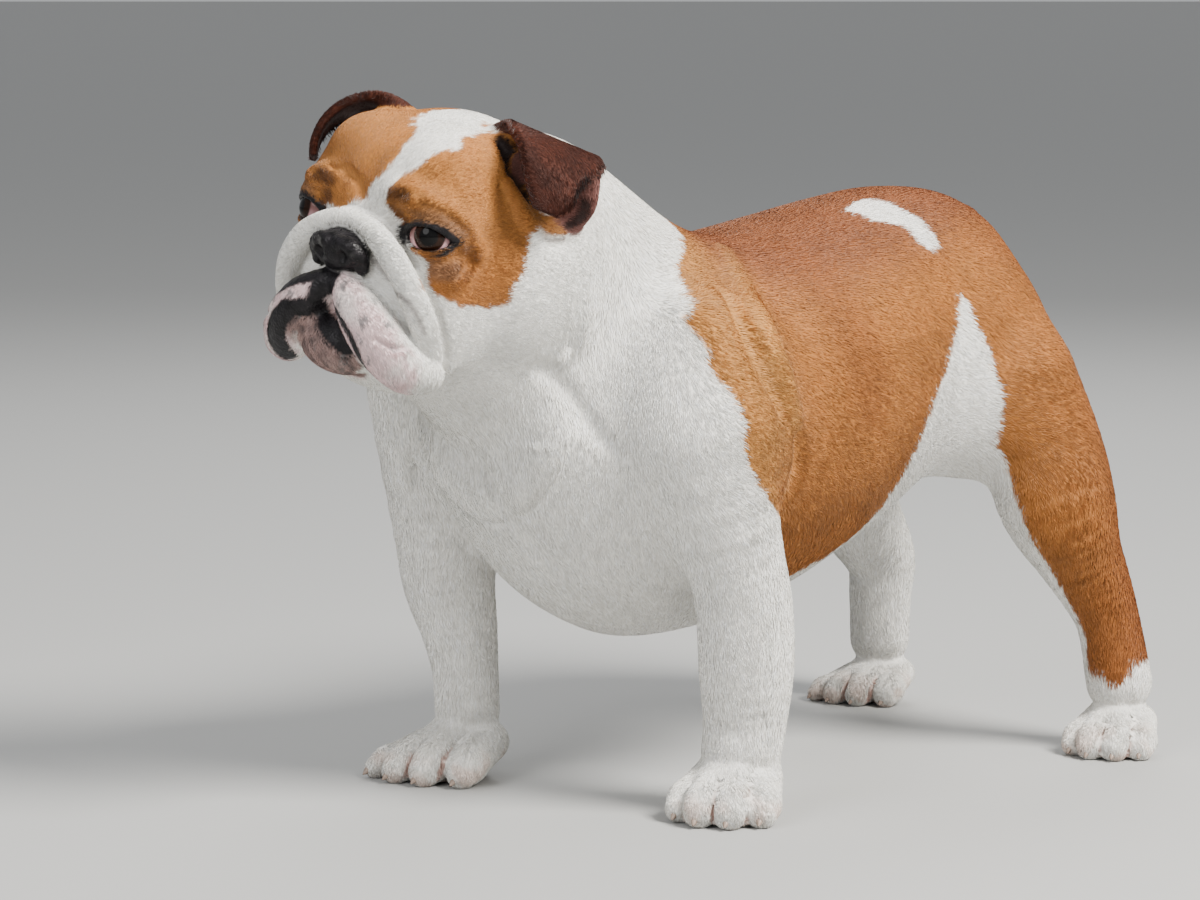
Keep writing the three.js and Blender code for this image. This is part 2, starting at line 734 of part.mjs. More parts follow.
const nodes = {};

// Trunk
const chestSkin = solidOf(coated, [-175, -300, 80], [175, -20, 378], TORSO_GRID);
nodes.chest = cut(
  chestSkin,
  beyond(NECK_BASE.point, back(NECK_BASE.normal), -HALF_GAP),
  across(CHEST_END, 1),
  foreBlock(1, HALF_GAP),
  foreBlock(-1, HALF_GAP),
);
const loinSkin = solidOf(coated, [-165, CHEST_END - 10, 100], [165, LOIN_END + 10, 401], TORSO_GRID);
nodes.loin = cut(
  loinSkin,
  across(CHEST_END, -1),
  across(LOIN_END, 1),
  hindBlock(1, HALF_GAP),
  hindBlock(-1, HALF_GAP),
);
const rumpSkin = solidOf(coated, [-165, LOIN_END - 10, 150], [165, 250, 401], TORSO_GRID * 0.9);
nodes.rump = cut(
  rumpSkin,
  across(LOIN_END, -1),
  hindBlock(1, HALF_GAP),
  hindBlock(-1, HALF_GAP),
  blockOf(TAIL_BLOCK.low, TAIL_BLOCK.high, HALF_GAP),
);
const tailSkin = solidOf(coated, [-25, 168, 294], [25, 250, 360], LEG_GRID * 0.7);
nodes.tail = largest(tailSkin.intersect(blockOf(TAIL_BLOCK.low, TAIL_BLOCK.high, -HALF_GAP)));
const neckSkin = solidOf(coated, [-125, -340, 215], [125, -100, 440], TORSO_GRID * 0.85);
nodes.neck = cut(
  neckSkin,
  beyond(NAPE.point, back(NAPE.normal), -HALF_GAP),
  beyond(NECK_BASE.point, NECK_BASE.normal, -HALF_GAP),
);

// Legs and paws
const CLAW = { radius: 3, length: 12, sides: 6, up: 8, droop: 0.35 };
function claw(leg, { across: side, reach }) {
  const root = pawPlace(leg, side * 1.06, reach + 12, CLAW.up);
  const tip = pawPlace(leg, side * 1.12, reach + 12 + CLAW.length, CLAW.up);
  const cone = new THREE.ConeGeometry(CLAW.radius, CLAW.length * 1.6, CLAW.sides);
  const way = new THREE.Vector3(...add(tip, root, -1)).normalize();
  way.z -= CLAW.droop;
  way.normalize();
  cone.applyQuaternion(new THREE.Quaternion().setFromUnitVectors(new THREE.Vector3(0, 1, 0), way));
  cone.translate(...root);
  return solidFrom(cone);
}

function pawOf(leg, heel) {
  const low = [leg.x - 55, leg.y - 65, -6];
  const high = [leg.x + 55, leg.y + heel, WRIST + 8];
  let paw = solidOf(coated, low, high, PAW_GRID);
  for (const toe of leg.toes) paw = paw.add(claw(leg, toe));
  return cut(paw, level(WRIST, 1), beyond([0, 0, 0], [0, 0, -1], 0));
}

for (const [name, leg] of Object.entries(LEGS)) {
  const [flank, pair] = name.split('_');
  const edge = (x) => clamp(x, -SIDE_END + 20, SIDE_END - 20);
  if (pair === 'fore') {
    const xs = [leg.side * (ELBOW.x - 12), edge(leg.side * 190)].sort((a, b) => a - b);
    const skin = solidOf(coated, [xs[0], -290, WRIST - 12], [xs[1], ELBOW.y + 12, ELBOW.z + 12], LEG_GRID);
    const limb = skin.intersect(foreBlock(leg.side, -HALF_GAP));
    nodes[`foreleg_${flank}`] = cut(limb, level(WRIST, -1));
    nodes[`forepaw_${flank}`] = pawOf(leg, 48);
  } else {
    const xs = [leg.side * (GROIN.x - 12), edge(leg.side * 190)].sort((a, b) => a - b);
    const ends = [[xs[0], GROIN.y - 12], [xs[1], 275]];
    const thigh = solidOf(coated, [...ends[0], HOCK - 12], [...ends[1], GROIN.z + 12], LEG_GRID);
    const shank = solidOf(coated, [...ends[0], WRIST - 12], [...ends[1], HOCK + 12], LEG_GRID * 0.8);
    nodes[`thigh_${flank}`] = cut(thigh.intersect(hindBlock(leg.side, -HALF_GAP)), level(HOCK, -1));
    nodes[`shank_${flank}`] = cut(shank, level(HOCK, 1), level(WRIST, -1));
    nodes[`hindpaw_${flank}`] = pawOf(leg, 48);
  }
}

// Head
const HEAD_LOW = [-112, -445, 240];
const HEAD_HIGH = [112, -232, 461];
const headSkin = solidOf(coated, HEAD_LOW, HEAD_HIGH, HEAD_GRID);
// The root of each ear sits in a pocket of its own shape in the head
function earSkin(side, grow) {
  const flesh = makeEar(side);
  const field = (x, y, z) => flesh.at(...toHead(x, y, z)) - COAT_DEPTH - grow;
  const middle = fromHead(earPlace(side, 20, -12, 25));
  const low = middle.map((v) => v - 62);
  return solidOf(field, low, middle.map((v) => v + 62), EAR_GRID);
}
const NOSE = { centre: [0, -78, 6], radii: [26, 17, 18] };
const JAW = { centre: [0, -74, -70], radii: [31, 40, 42] };
const grown = (radii) => radii.map((r) => r + GAP);
const eyeBall = (side, r) => ballOf(flip(EYE, side), [r, r, r], 7);
const wholeHead = cut(headSkin, beyond(NAPE.point, NAPE.normal, -HALF_GAP));
nodes.nose = largest(wholeHead.intersect(ballOf(NOSE.centre, NOSE.radii, 8)));
const jawTool = ballOf(JAW.centre, JAW.radii, 8);
nodes.lower_jaw = largest(wholeHead.intersect(jawTool));
nodes.head = cut(
  wholeHead,
  ballOf(NOSE.centre, grown(NOSE.radii), 8),
  ballOf(JAW.centre, grown(JAW.radii), 8),
  eyeBall(1, EYE_RADIUS + GAP),
  eyeBall(-1, EYE_RADIUS + GAP),
);
for (const [name, side] of [['left', 1], ['right', -1]]) {
  nodes[`eye_${name}`] = eyeBall(side, EYE_RADIUS);
  nodes[`ear_${name}`] = earSkin(side, 0);
  nodes.head = cut(nodes.head, earSkin(side, GAP), nodes[`ear_${name}`]);
}

// The scene graph: one mesh a node, about the middle of the space it takes up
const WHITE = 0xece6dd;
const TAN = 0xa9652f;
const PIED = 0xcda37b;
const LOOKS = {
  nose: { color: 0x1b191c, roughness: 0.42 },
  lower_jaw: { color: 0x8d7373, roughness: 0.6 },
  eye: { color: 0x1c100c, roughness: 0.08 },
  ear: { color: 0x56301f, roughness: 0.82 },
  head: { color: PIED, roughness: 0.85 },
  neck: { color: WHITE, roughness: 0.88 },
  chest: { color: WHITE, roughness: 0.88 },
  loin: { color: TAN, roughness: 0.85 },
  rump: { color: TAN, roughness: 0.85 },
  tail: { color: TAN, roughness: 0.85 },
  foreleg: { color: WHITE, roughness: 0.88 },
  forepaw: { color: WHITE, roughness: 0.88 },
  thigh: { color: TAN, roughness: 0.85 },
  shank: { color: PIED, roughness: 0.86 },
  hindpaw: { color: WHITE, roughness: 0.88 },
};

// The faces of the largest piece, where a thin edge has let a crumb come loose
function biggestPiece(faces, places) {
  const leader = Array.from({ length: places.length / 3 }, (v, i) => i);
  const find = (e) => {
    let at = e;
    while (leader[at] !== at) at = leader[at];
    return at;
  };
  for (let i = 0; i < faces.length; i += 3) {
    leader[find(faces[i])] = find(faces[i + 1]);
    leader[find(faces[i + 1])] = find(faces[i + 2]);
  }
  const pieces = new Map();
  for (let i = 0; i < faces.length; i += 3) {
    const key = find(faces[i]);
    if (!pieces.has(key)) pieces.set(key, []);
    pieces.get(key).push(faces[i], faces[i + 1], faces[i + 2]);
  }
  const most = [...pieces.values()].reduce((a, b) => (b.length > a.length ? b : a));
  return new THREE.BufferAttribute(new Uint32Array(most), 1);
}

// Where two corners of one skin touch, the later one is drawn in a little
const DRAW_IN = 0.05;
function partCorners(geometry) {
  const places = geometry.getAttribute('position');
  const normals = geometry.getAttribute('normal');
  const taken = new Set();
  for (let i = 0; i < places.count; i += 1) {
    const p = new THREE.Vector3().fromBufferAttribute(places, i);
    const key = p.toArray().map((v) => v.toFixed(3)).join();
    if (taken.has(key)) {
      const normal = new THREE.Vector3().fromBufferAttribute(normals, i);
      places.setXYZ(i, ...p.addScaledVector(normal, -DRAW_IN).toArray());
    }
    taken.add(key);
  }
}

const bulldog = new THREE.Group();
for (const [name, solid] of Object.entries(nodes)) {
  const mesh = solid.getMesh();
  const geometry = new THREE.BufferGeometry();
  const placed = new Float32Array((mesh.vertProperties.length / mesh.numProp) * 3);
  for (let i = 0; i < placed.length / 3; i += 1) {
    for (let k = 0; k < 3; k += 1) {
      placed[i * 3 + k] = FIT * (mesh.vertProperties[i * mesh.numProp + k] - BOX_CENTRE[k]);
    }
  }
  geometry.setAttribute('position', new THREE.BufferAttribute(placed, 3));
  geometry.setIndex(biggestPiece(mesh.triVerts, placed));
  geometry.computeVertexNormals();
  partCorners(geometry);
  const look = LOOKS[name] ?? LOOKS[name.replace(/_(left|right)$/, '')];
  const material = new THREE.MeshStandardMaterial({ ...look, metalness: 0 });
  const piece = new THREE.Mesh(geometry, material);
  piece.name = name;
  bulldog.add(piece);
}

export default bulldog;
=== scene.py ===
# %% [markdown]
# # An english bulldog, standing
# The dog is a grown bitch on all four feet, seen from her left front. Her body is
# one skin over the shapes of the flesh, with a short flat coat over it, and her
# eyes and claws are pieces of their own. Lengths in the shapes are millimetres in
# the dog's own frame: she faces -Y, her left is +X and the floor is z = 0.

import math

import bpy
import numpy as np
from mathutils import Matrix, Vector


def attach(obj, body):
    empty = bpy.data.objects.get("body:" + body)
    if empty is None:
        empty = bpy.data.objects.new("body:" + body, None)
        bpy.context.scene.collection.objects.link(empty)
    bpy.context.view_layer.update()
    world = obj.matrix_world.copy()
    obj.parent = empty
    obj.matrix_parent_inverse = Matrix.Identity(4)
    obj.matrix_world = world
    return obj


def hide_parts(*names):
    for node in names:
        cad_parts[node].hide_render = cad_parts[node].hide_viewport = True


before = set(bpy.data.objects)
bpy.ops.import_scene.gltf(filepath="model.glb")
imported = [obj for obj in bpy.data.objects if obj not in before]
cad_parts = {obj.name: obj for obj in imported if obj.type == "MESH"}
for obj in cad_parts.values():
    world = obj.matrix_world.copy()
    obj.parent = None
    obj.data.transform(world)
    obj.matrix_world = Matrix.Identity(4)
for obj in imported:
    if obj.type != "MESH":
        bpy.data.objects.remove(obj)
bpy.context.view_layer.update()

BOX_CENTRE = np.array([2.0, -90.0, 0.0])  # of the CAD box, in the dog's frame
MM = 0.001


def placed(points):
    """Millimetres in the dog's frame, as metres in the row frame: (p - box centre) / 1000."""
    return (np.asarray(points, float) - BOX_CENTRE) * MM


# %% [markdown]
# ## Flesh
# Muscle, fat and loose skin have no edges, so each form is a distance field: a
# number at every point, less than zero inside the form. Two forms join where the
# lesser distance wins, rounded where they are close, as flesh runs together.

# %% Forms
FAR = 60.0  # mm, the field where no form is in reach
BLOCK = 36.0  # mm, the side of the blocks in which points share their forms
BLOCK_SHIFT, BLOCK_ROW = 500, 1000  # to number the blocks
CARVE_REACH = 8.0
SHEET_REACH = 6.0


def soft_least(a, b, soft):
    """min(a, b) - h^2 soft / 4 with h = max(soft - |a - b|, 0) / soft."""
    h = np.maximum(soft - np.abs(a - b), 0) / soft
    return np.minimum(a, b) - h * h * soft * 0.25


def ramp(v, low, high):
    """0 below low, 1 above high, and 3t^2 - 2t^3 between."""
    t = np.clip((v - low) / (high - low), 0, 1)
    return t * t * (3 - 2 * t)


def curve(rows, steps):
    """Rows made finer by the cubic through four neighbours, (2b + (c-a)t + ...) / 2."""
    rows = np.asarray(rows, float)
    if len(rows) == 2:
        return rows
    ends = np.vstack([2 * rows[0] - rows[1], rows, 2 * rows[-1] - rows[-2]])
    t = (np.arange(steps) / steps)[:, None, None]
    a, b, c, d = (ends[i : len(ends) - 3 + i] for i in range(4))
    cube = (2 * a - 5 * b + 4 * c - d) * t**2 + (3 * b - a - 3 * c + d) * t**3
    fine = 0.5 * (2 * b + (c - a) * t + cube)
    return np.vstack([fine.transpose(1, 0, 2).reshape(-1, rows.shape[1]), rows[-1]])


class Flesh:
    """Soft forms joined or carved one after another, each with the box that holds it."""

    def __init__(self):
        self.forms = []

    def put(self, distance, low, high, soft, carve=False):
        self.forms.append((distance, np.asarray(low, float), np.asarray(high, float), soft, carve))

    def ball(self, centre, radii, soft, carve=False):
        """An ellipsoid: L (L - 1) / |q / r^2| with L = |q / r| and q = p - centre."""
        centre = np.asarray(centre, float)
        radii = np.asarray(radii, float)

        def distance(p):
            q = (p - centre) / radii
            level = np.sqrt((q * q).sum(1))
            slope = np.sqrt(((q / radii) ** 2).sum(1))
            return level * (level - 1) / np.maximum(slope, 1e-6)

        self.put(distance, centre - radii, centre + radii, soft, carve)

    def fold(self, points, radii, soft, carve=False, steps=4):
        """A round ridge along a smooth curve: least over its spans of |q - t s| - r(t)."""
        rows = curve(np.c_[np.asarray(points, float), radii], steps)
        middle = rows[:, :3].mean(0)
        start, span = rows[:-1, :3] - middle, np.diff(rows[:, :3], axis=0)
        square = (span * span).sum(1)
        thick, thicker = rows[:-1, 3], np.diff(rows[:, 3])
        base, offset = (start * span).sum(1), (start * start).sum(1)

        def distance(p):
            q = p - middle
            along = q @ span.T - base
            t = np.clip(along / square, 0, 1)
            away = (q * q).sum(1)[:, None] - 2 * (q @ start.T) + offset - 2 * t * along + t * t * square
            return (np.sqrt(np.maximum(away, 0)) - thick - t * thicker).min(1)

        r = rows[:, 3:]
        self.put(distance, (rows[:, :3] - r).min(0), (rows[:, :3] + r).max(0), soft, carve)

    def sheet(self, ear, side, rows, soft):
        """A bent sheet of rows (u, w, near, far, half thickness), swept along a."""
        origin, u, w, a = ear
        rows = curve(rows, 3)
        line = origin + rows[:, :1] * u + rows[:, 1:2] * w
        ends = np.vstack([line + rows[:, k : k + 1] * a for k in (2, 3)]) * [side, 1, 1]
        start, span = rows[:-1], np.diff(rows, axis=0)
        square = (span[:, :2] ** 2).sum(1)

        def distance(p):
            q = p * [side, 1, 1] - origin
            x, y, along = (q @ u)[:, None], (q @ w)[:, None], (q @ a)[:, None]
            dx, dy = x - start[:, 0], y - start[:, 1]
            t = np.clip((dx * span[:, 0] + dy * span[:, 1]) / square, 0, 1)
            off = (dx - t * span[:, 0]) ** 2 + (dy - t * span[:, 1]) ** 2
            low, high, thick = (start[:, k] + t * span[:, k] for k in (2, 3, 4))
            past = np.maximum(np.maximum(low - along, along - high), 0)
            return (np.sqrt(off + past * past) - thick).min(1)

        self.put(distance, ends.min(0) - SHEET_REACH, ends.max(0) + SHEET_REACH, soft)

    def at(self, p, margin=FAR):
        """The field at each point, block by block, with only the forms in reach."""
        out = np.empty(len(p))
        if not len(p):
            return out
        key = np.floor(p / BLOCK).astype(np.int64) + BLOCK_SHIFT
        code = (key[:, 0] * BLOCK_ROW + key[:, 1]) * BLOCK_ROW + key[:, 2]
        order = np.argsort(code, kind="stable")
        for index in np.split(order, np.flatnonzero(np.diff(code[order])) + 1):
            q = p[index]
            low, high = q.min(0), q.max(0)
            d = np.full(len(q), FAR)
            for distance, least, most, soft, carve in self.forms:
                gap = np.maximum(np.maximum(least - high, low - most), 0)
                if gap @ gap > (soft + (CARVE_REACH if carve else margin)) ** 2:
                    continue
                v = distance(q)
                d = -soft_least(-d, v, soft) if carve else soft_least(d, v, soft)
            out[index] = d
        return out


def mirrored(side, *points):
    """The points with x turned to that side."""
    return [(side * x, y, z) for x, y, z in points]


# %% [markdown]
# ## Trunk and legs
# A bulldog is widest at the shoulders, narrows to the loins and rises to a rump
# that is higher than the withers. The trunk is a loft through stations along the
# back. The legs are limbs of changing thickness from the shoulder or the hip to
# the paw, and each paw has four toes.

# %% Body
TRUNK = np.array([  # y, top, bottom, half width, height of the widest place
    (-275, 278, 186, 66, 238),
    (-240, 330, 140, 98, 234),
    (-190, 349, 108, 120, 232),
    (-130, 354, 103, 133, 232),
    (-70, 360, 117, 131, 238),
    (-10, 370, 146, 121, 250),
    (40, 379, 172, 107, 264),
    (85, 384, 192, 97, 273),
    (125, 379, 206, 86, 274),
    (158, 361, 219, 68, 272),
    (182, 334, 234, 42, 272),
], float)
SQUARENESS = 2.25
KEEL_SQUARENESS = 1.8
KEEL_END, LOIN_START = -90.0, 60.0
END_ROUND = 24.0
END_STEEPNESS = 2.0
WIDEST_RADIUS = 1.25  # times the lesser half size, so that the field is never too steep
STATION_SLOPES = np.gradient(TRUNK[:, 1:], TRUNK[:, 0], axis=0)


def trunk(p):
    """(L - 1) times the local radius, with L = (|x/w|^n + |z/h|^n)^(1/n), sharper below."""
    y = np.clip(p[:, 1], TRUNK[0, 0], TRUNK[-1, 0])
    i = np.clip(np.searchsorted(TRUNK[:, 0], y) - 1, 0, len(TRUNK) - 2)
    length = TRUNK[i + 1, 0] - TRUNK[i, 0]
    t = ((y - TRUNK[i, 0]) / length)[:, None]
    a, b = TRUNK[i, 1:], TRUNK[i + 1, 1:]
    rise = t * (1 - t) ** 2 * length[:, None] * STATION_SLOPES[i]
    fall = t * t * (t - 1) * length[:, None] * STATION_SLOPES[i + 1]
    top, bottom, half, wide = (a + t * t * (3 - 2 * t) * (b - a) + rise + fall).T
    tall = np.where(p[:, 2] > wide, top - wide, wide - bottom)
    across, up = np.abs(p[:, 0]) / half, np.abs(p[:, 2] - wide) / tall
    below = KEEL_SQUARENESS + (SQUARENESS - KEEL_SQUARENESS) * ramp(y, KEEL_END, LOIN_START)
    power = np.where(p[:, 2] > wide, SQUARENESS, below)
    level = (across**power + up**power) ** (1 / power)
    turn = np.arctan2(up * tall, across * half)
    local = np.hypot(half * np.cos(turn), tall * np.sin(turn))
    d = (level - 1) * np.minimum(local, np.minimum(half, tall) * WIDEST_RADIUS)
    past = np.maximum(TRUNK[0, 0] - p[:, 1], 0) + np.maximum(p[:, 1] - TRUNK[-1, 0], 0)
    past = past * END_STEEPNESS
    rounded = np.hypot(np.maximum(d + END_ROUND, 0), past) - END_ROUND
    return np.where(past > 0, rounded, d)


TOES = [(-26, 18, 11.5), (-9.5, 30, 12.5), (9.5, 30, 12.5), (26, 18, 11.5)]  # across, reach, radius
SPLAYED_TOES = [(-34, 32, 9), (-13, 34, 11.5), (8, 29, 12.5), (29, 16, 12)]
PAWS = {  # x and y of the paw, turn of the toes in degrees, size, toes
    "left_fore": (113, -175, 26, 0.98, TOES),
    "right_fore": (-108, -210, 0, 1.0, SPLAYED_TOES),
    "left_hind": (134, 177, 22, 0.86, TOES),
    "right_hind": (-125, 216, 4, 0.82, SPLAYED_TOES),
}
LIMBS = {  # x, y, z and radius, from the top down
    "left_fore": [(110, -204, 242, 44), (119, -183, 170, 31.5), (119.5, -173, 135, 30),
                  (117, -168, 95, 29.5), (113, -165, 61, 26), (112, -167, 42, 25)],
    "right_fore": [(-118, -212, 256, 50), (-120, -208, 165, 35), (-118, -208, 130, 30),
                   (-113, -204, 100, 25), (-109, -202, 72, 21.5), (-106, -203, 45, 21)],
    "left_hind": [(82, 124, 250, 45), (98, 137, 207, 41), (111, 138, 174, 39), (118, 150, 142, 30),
                  (125, 164, 112, 24), (129, 173, 88, 21), (132, 181, 48, 22)],
    "right_hind": [(-82, 124, 250, 45), (-102, 142, 200, 43), (-112, 175, 150, 33), (-118, 212, 108, 25),
                   (-122, 217, 78, 22), (-124, 219, 46, 21)],
}


def paw_place(paw, across, forward, up):
    """A place on a paw, measured across it, forward along it and up."""
    x, y, turn, size = paw[:4]
    s, c = math.sin(math.radians(turn)), math.cos(math.radians(turn))
    return (x + size * (across * c + forward * s), y + size * (across * s - forward * c), up * size)


PAW_BASE = [((0, -4, 17), 22), ((0, 8, 15), 21)]  # across, forward and up, and radius
GAP_STEPS = [(0.8, -16, 19), (0.9, -4, 13), (1.0, 6, 7), (1.05, 11, -4)]  # across, forward, up
GAP_RADII = [0.5, 1.4, 1.8, 1.5]


def gaps(paw, steps):
    """Lines between neighbouring toes, through steps past the mean of the two toes' ends."""
    toes = paw[4]
    for (left, reach, r), (right, other, _) in zip(toes, toes[1:]):
        middle, out = (left + right) / 2, (reach + other) / 2
        yield [paw_place(paw, middle * k, out + step, r + up) for k, step, up in steps]


def add_paw(flesh, paw):
    """A base, then each toe from its root over the knuckle to the tip, then the gaps."""
    size, toes = paw[3:]
    flesh.fold([paw_place(paw, *place) for place, _ in PAW_BASE], [r * size for _, r in PAW_BASE], 8)
    for across, reach, r in toes:
        root = paw_place(paw, across * 0.66, reach - 27, r + 13)
        knuckle = paw_place(paw, across, reach, r + 2)
        tip = paw_place(paw, across * 1.06, reach + 8, r * 0.74)
        flesh.fold([root, knuckle], [r * 1.08 * size, r * 0.96 * size], 6)
        flesh.fold([knuckle, tip], [r * 0.95 * size, r * 0.8 * size], 4.5)
    for gap in gaps(paw, GAP_STEPS):
        flesh.fold(gap, GAP_RADII, 2.5, carve=True)


BODY_RIDGES = [  # loose skin over the shoulder, the neck's fold and the dewlap: line, radii
    ([(48, -124, 343), (88, -148, 324), (127, -170, 303), (135, -163, 276), (133, -152, 251)],
     [8, 10, 11, 11, 8]),
    ([(72, -272, 350), (70, -272, 322), (60, -276, 300), (40, -286, 286)], [4, 12, 11, 6]),
    ([(20, -276, 264), (44, -272, 252), (70, -254, 232)], [6, 13, 8]),
]
BODY_CREASES = [  # beside the shoulder's ridge, over the elbow, on the neck, chest and armpits
    ([(92, -174, 344), (118, -186, 329), (135, -191, 310), (146, -186, 287), (148, -169, 258)],
     [1, 2, 3, 3, 1.5]),
    ([(139, -146, 240), (135, -142, 222), (136, -144, 205), (138, -148, 186), (128, -140, 166)],
     [1, 2.5, 3, 3.5, 2]),
    ([(82, -291, 371), (83, -288, 357), (84, -287, 338), (80, -281, 315), (72, -279, 300)],
     [1, 3, 3.5, 3, 2]),
    ([(62, -296, 290), (66, -284, 279), (70, -272, 266), (78, -264, 248), (92, -256, 230)],
     [2, 4, 4.5, 4, 2]),
    ([(2, -302, 239), (5, -292, 221), (12, -289, 209), (20, -284, 194), (24, -265, 172),
      (35, -241, 149)], [1, 2.5, 3, 3, 3, 1]),
    ([(112, -240, 214), (110, -238, 190), (92, -218, 160), (84, -196, 140)], [1, 3, 4, 2]),
    ([(-112, -244, 220), (-96, -250, 190), (-80, -228, 160), (-76, -204, 138)], [1, 3, 4, 2]),
]


def make_body():
    flesh = Flesh()
    flesh.put(trunk, (-135, -290, 80), (135, 200, 390), 12)
    # Neck, throat and the front of the chest
    flesh.fold([(0, -146, 270), (0, -262, 350)], [86, 81], 30)
    flesh.fold([(0, -200, 256), (0, -285, 306)], [80, 62], 24)
    flesh.ball((0, -225, 211), (68, 42, 48), 22)
    for side, name in ((1, "left_fore"), (-1, "right_fore")):
        flesh.ball((side * 104, -190, 258), (46, 60, 74), 26)
        rows = LIMBS[name]
        flesh.fold([row[:3] for row in rows], [row[3] for row in rows], 14)
    for side, name in ((1, "left_hind"), (-1, "right_hind")):
        flesh.ball((side * 60, 110, 260), (50, 62, 72), 28)
        rows = LIMBS[name]
        flesh.fold([row[:3] for row in rows], [row[3] for row in rows], 16)
    flesh.fold([(0, 160, 352), (0, 190, 326)], [18, 11], 10)
    for points, radii in BODY_RIDGES:
        flesh.fold(points, radii, 9)
    for points, radii in BODY_CREASES:
        flesh.fold(points, radii, 9, carve=True)
    for paw in PAWS.values():
        add_paw(flesh, paw)
    return flesh


# %% [markdown]
# ## Head
# The head has a frame of its own, turned a little to the dog's left and tipped
# that way. The roll over the nose, the hanging lips, the brows and the wrinkles
# are ridges along curves. The sockets, nostrils, mouth and furrow are carved.

# %% Head and ears
HEAD_PLACE = np.array([-5.0, -322.0, 359.0])
HEAD_MATRIX = np.array(
    Matrix.Rotation(math.radians(4), 3, "Z")
    @ Matrix.Rotation(math.radians(3.5), 3, "X")
    @ Matrix.Rotation(math.radians(8), 3, "Y")
)
EYE = np.array([47.0, -48.0, 21.0])
EYE_RADIUS = 14.0


def to_head(p):
    """The dog's frame to the head's: R^T (p - place)."""
    return (p - HEAD_PLACE) @ HEAD_MATRIX


def from_head(p):
    """The head's frame to the dog's: R p + place."""
    return np.asarray(p, float) @ HEAD_MATRIX.T + HEAD_PLACE


def unit(v):
    v = np.asarray(v, float)
    return v / np.linalg.norm(v)


def ear_frame():
    """Origin, outward u, up w and a along the fold, for the left ear."""
    a = unit((0.66, 0.66, -0.34))
    u = np.array([0.7, -0.7, 0.0])
    u = unit(u - (u @ a) * a)
    return np.array([50.0, 8.0, 74.0]), u, np.cross(u, a), a


EAR = ear_frame()
EAR_FLAP = [  # u, w, near and far end along a, half thickness
    (-14, -6, -8, 46, 5.5),
    (-8, 4, -5, 50, 4.5),
    (4, 10.5, -2, 54, 3.5),
    (17, 10.5, 0, 55, 3.0),
    (30, 6, 7, 51, 2.8),
    (40, -3, 13, 46, 2.6),
    (45, -13, 20, 46, 2.5),
    (46, -21, 27, 41, 2.4),
]
EAR_BURR = [  # u, w, a, radius
    (0, 2, 54, 7), (4, -18, 58, 8), (3, -34, 50, 8), (-2, -40, 36, 7), (-4, -34, 20, 6),
]
EAR_CUP, EAR_CUP_RADII = (10, -8, 18), (13, 13, 12)


def ear_place(side, u, w, a):
    p = EAR[0] + u * EAR[1] + w * EAR[2] + a * EAR[3]
    return p * [side, 1, 1]


NOSE = ((0, -77, 7), (20, 11, 12.5))
NOSE_WING = ((5, -84, 13), (13, -83, 11.5), (18.5, -79, 5), (18.5, -78, -1))
NOSE_WING_RADII = [4.5, 5.5, 5, 4]
FROWN = ((48, -63, 41), (58, -57, 39), (66, -48, 31), (70, -39, 21), (66, -36, 6), (68, -47, -1))
EAR_RIM = ((62, -1, 50), (68, 3, 39), (75, 5, 29), (81, 13, 23), (84, 23, 21))
EAR_HOLLOW = ((53, -3, 77), (60, -1, 68), (62, 6, 54), (66, 8, 42))
SKULL = [((0, 8, 27), (67, 74, 58), 12), ((0, -22, 36), (53, 36, 42), 18)]  # centre, radii, soft
SKULL_SIDES = [  # cheek, side of the forehead, the bone over the eye and the root of the ear
    ((54, 18, -15), (38, 50, 52), 18), ((32, -22, 56), (26, 27, 24), 14),
    ((49, -30, 34), (19, 20, 20), 12), ((50, 12, 66), (16, 20, 14), 12),
]
MUZZLE = [((0, -46, -20), (60, 31, 46), 16), ((0, -15, -62), (54, 52, 26), 18)]  # and the throat
CHEEK_BEFORE_JAW = ((50, -28, -26), (22, 26, 38), 12)
BROW = ((26, -58, 44), (40, -57, 43), (54, -50, 36), (62, -41, 26), (65, -32, 14))
BAG = ((57, -45, -2), (11, 11, 9), 8)
BESIDE_ROLL = ((52, -52, -3), (57, -46, -18), (61, -43, -36), (59, -43, -56))
CHIN = ((0, -71, -50), (31, 23, 20), 6)
LIP = ((8, -80, -14), (24, -82, -27), (38, -78, -43), (50, -69, -57), (57, -58, -61))
ROLL = ((0, -67, 24), (12, -69, 22.5), (24, -71, 18), (36, -72, 10), (46, -71, -1),
        (53, -68, -14), (58, -62, -32), (58, -54, -52))
ROLL_RADII = [7.5, 7.5, 7.5, 8, 8, 8.5, 8.5, 7]
EYE_SLIT = ((36, -61, 19.5), (41, -65, 21), (49, -65.5, 21.5), (57, -60, 21), (63.5, -48, 19))
FACE_CREASES = [  # the frown, the inner corner, beside the roll and in the lip: line, radii, soft
    (FROWN, [0.8, 1.5, 1.8, 1.8, 1.6, 0.8], 5),
    (((28, -68, 36), (33, -67, 43), (40, -65, 47), (47, -61, 47)), [1.5, 2.4, 2, 1], 4),
    (((56, -60, -9), (61, -55, -25), (64, -51, -43), (62, -49, -58)), [1, 1.8, 2, 1.5], 3),
    (((46, -91, -38), (54, -84, -43), (59, -75, -42)), [1, 1.6, 1], 3),
]
RIGHT_FROWN = [(-28, -60, 50), (-19, -61, 52), (-6, -61, 47), (2, -64, 39)]
FURROW = [(2, -72, 46), (6, -52, 92)]
NOSTRIL = ((9.5, -90, 5), (4, 7, 4.5))
NOSTRIL_SLIT = ((11, -89, 3), (16, -86, 0), (21, -82, 1))
MOUTH = ((1, -93, -20), (11, -95, -32), (19, -92, -48), (29, -84, -64), (38, -72, -75))
PHILTRUM = [(0, -90, 10), (0, -90, -4), (0, -93, -20)]


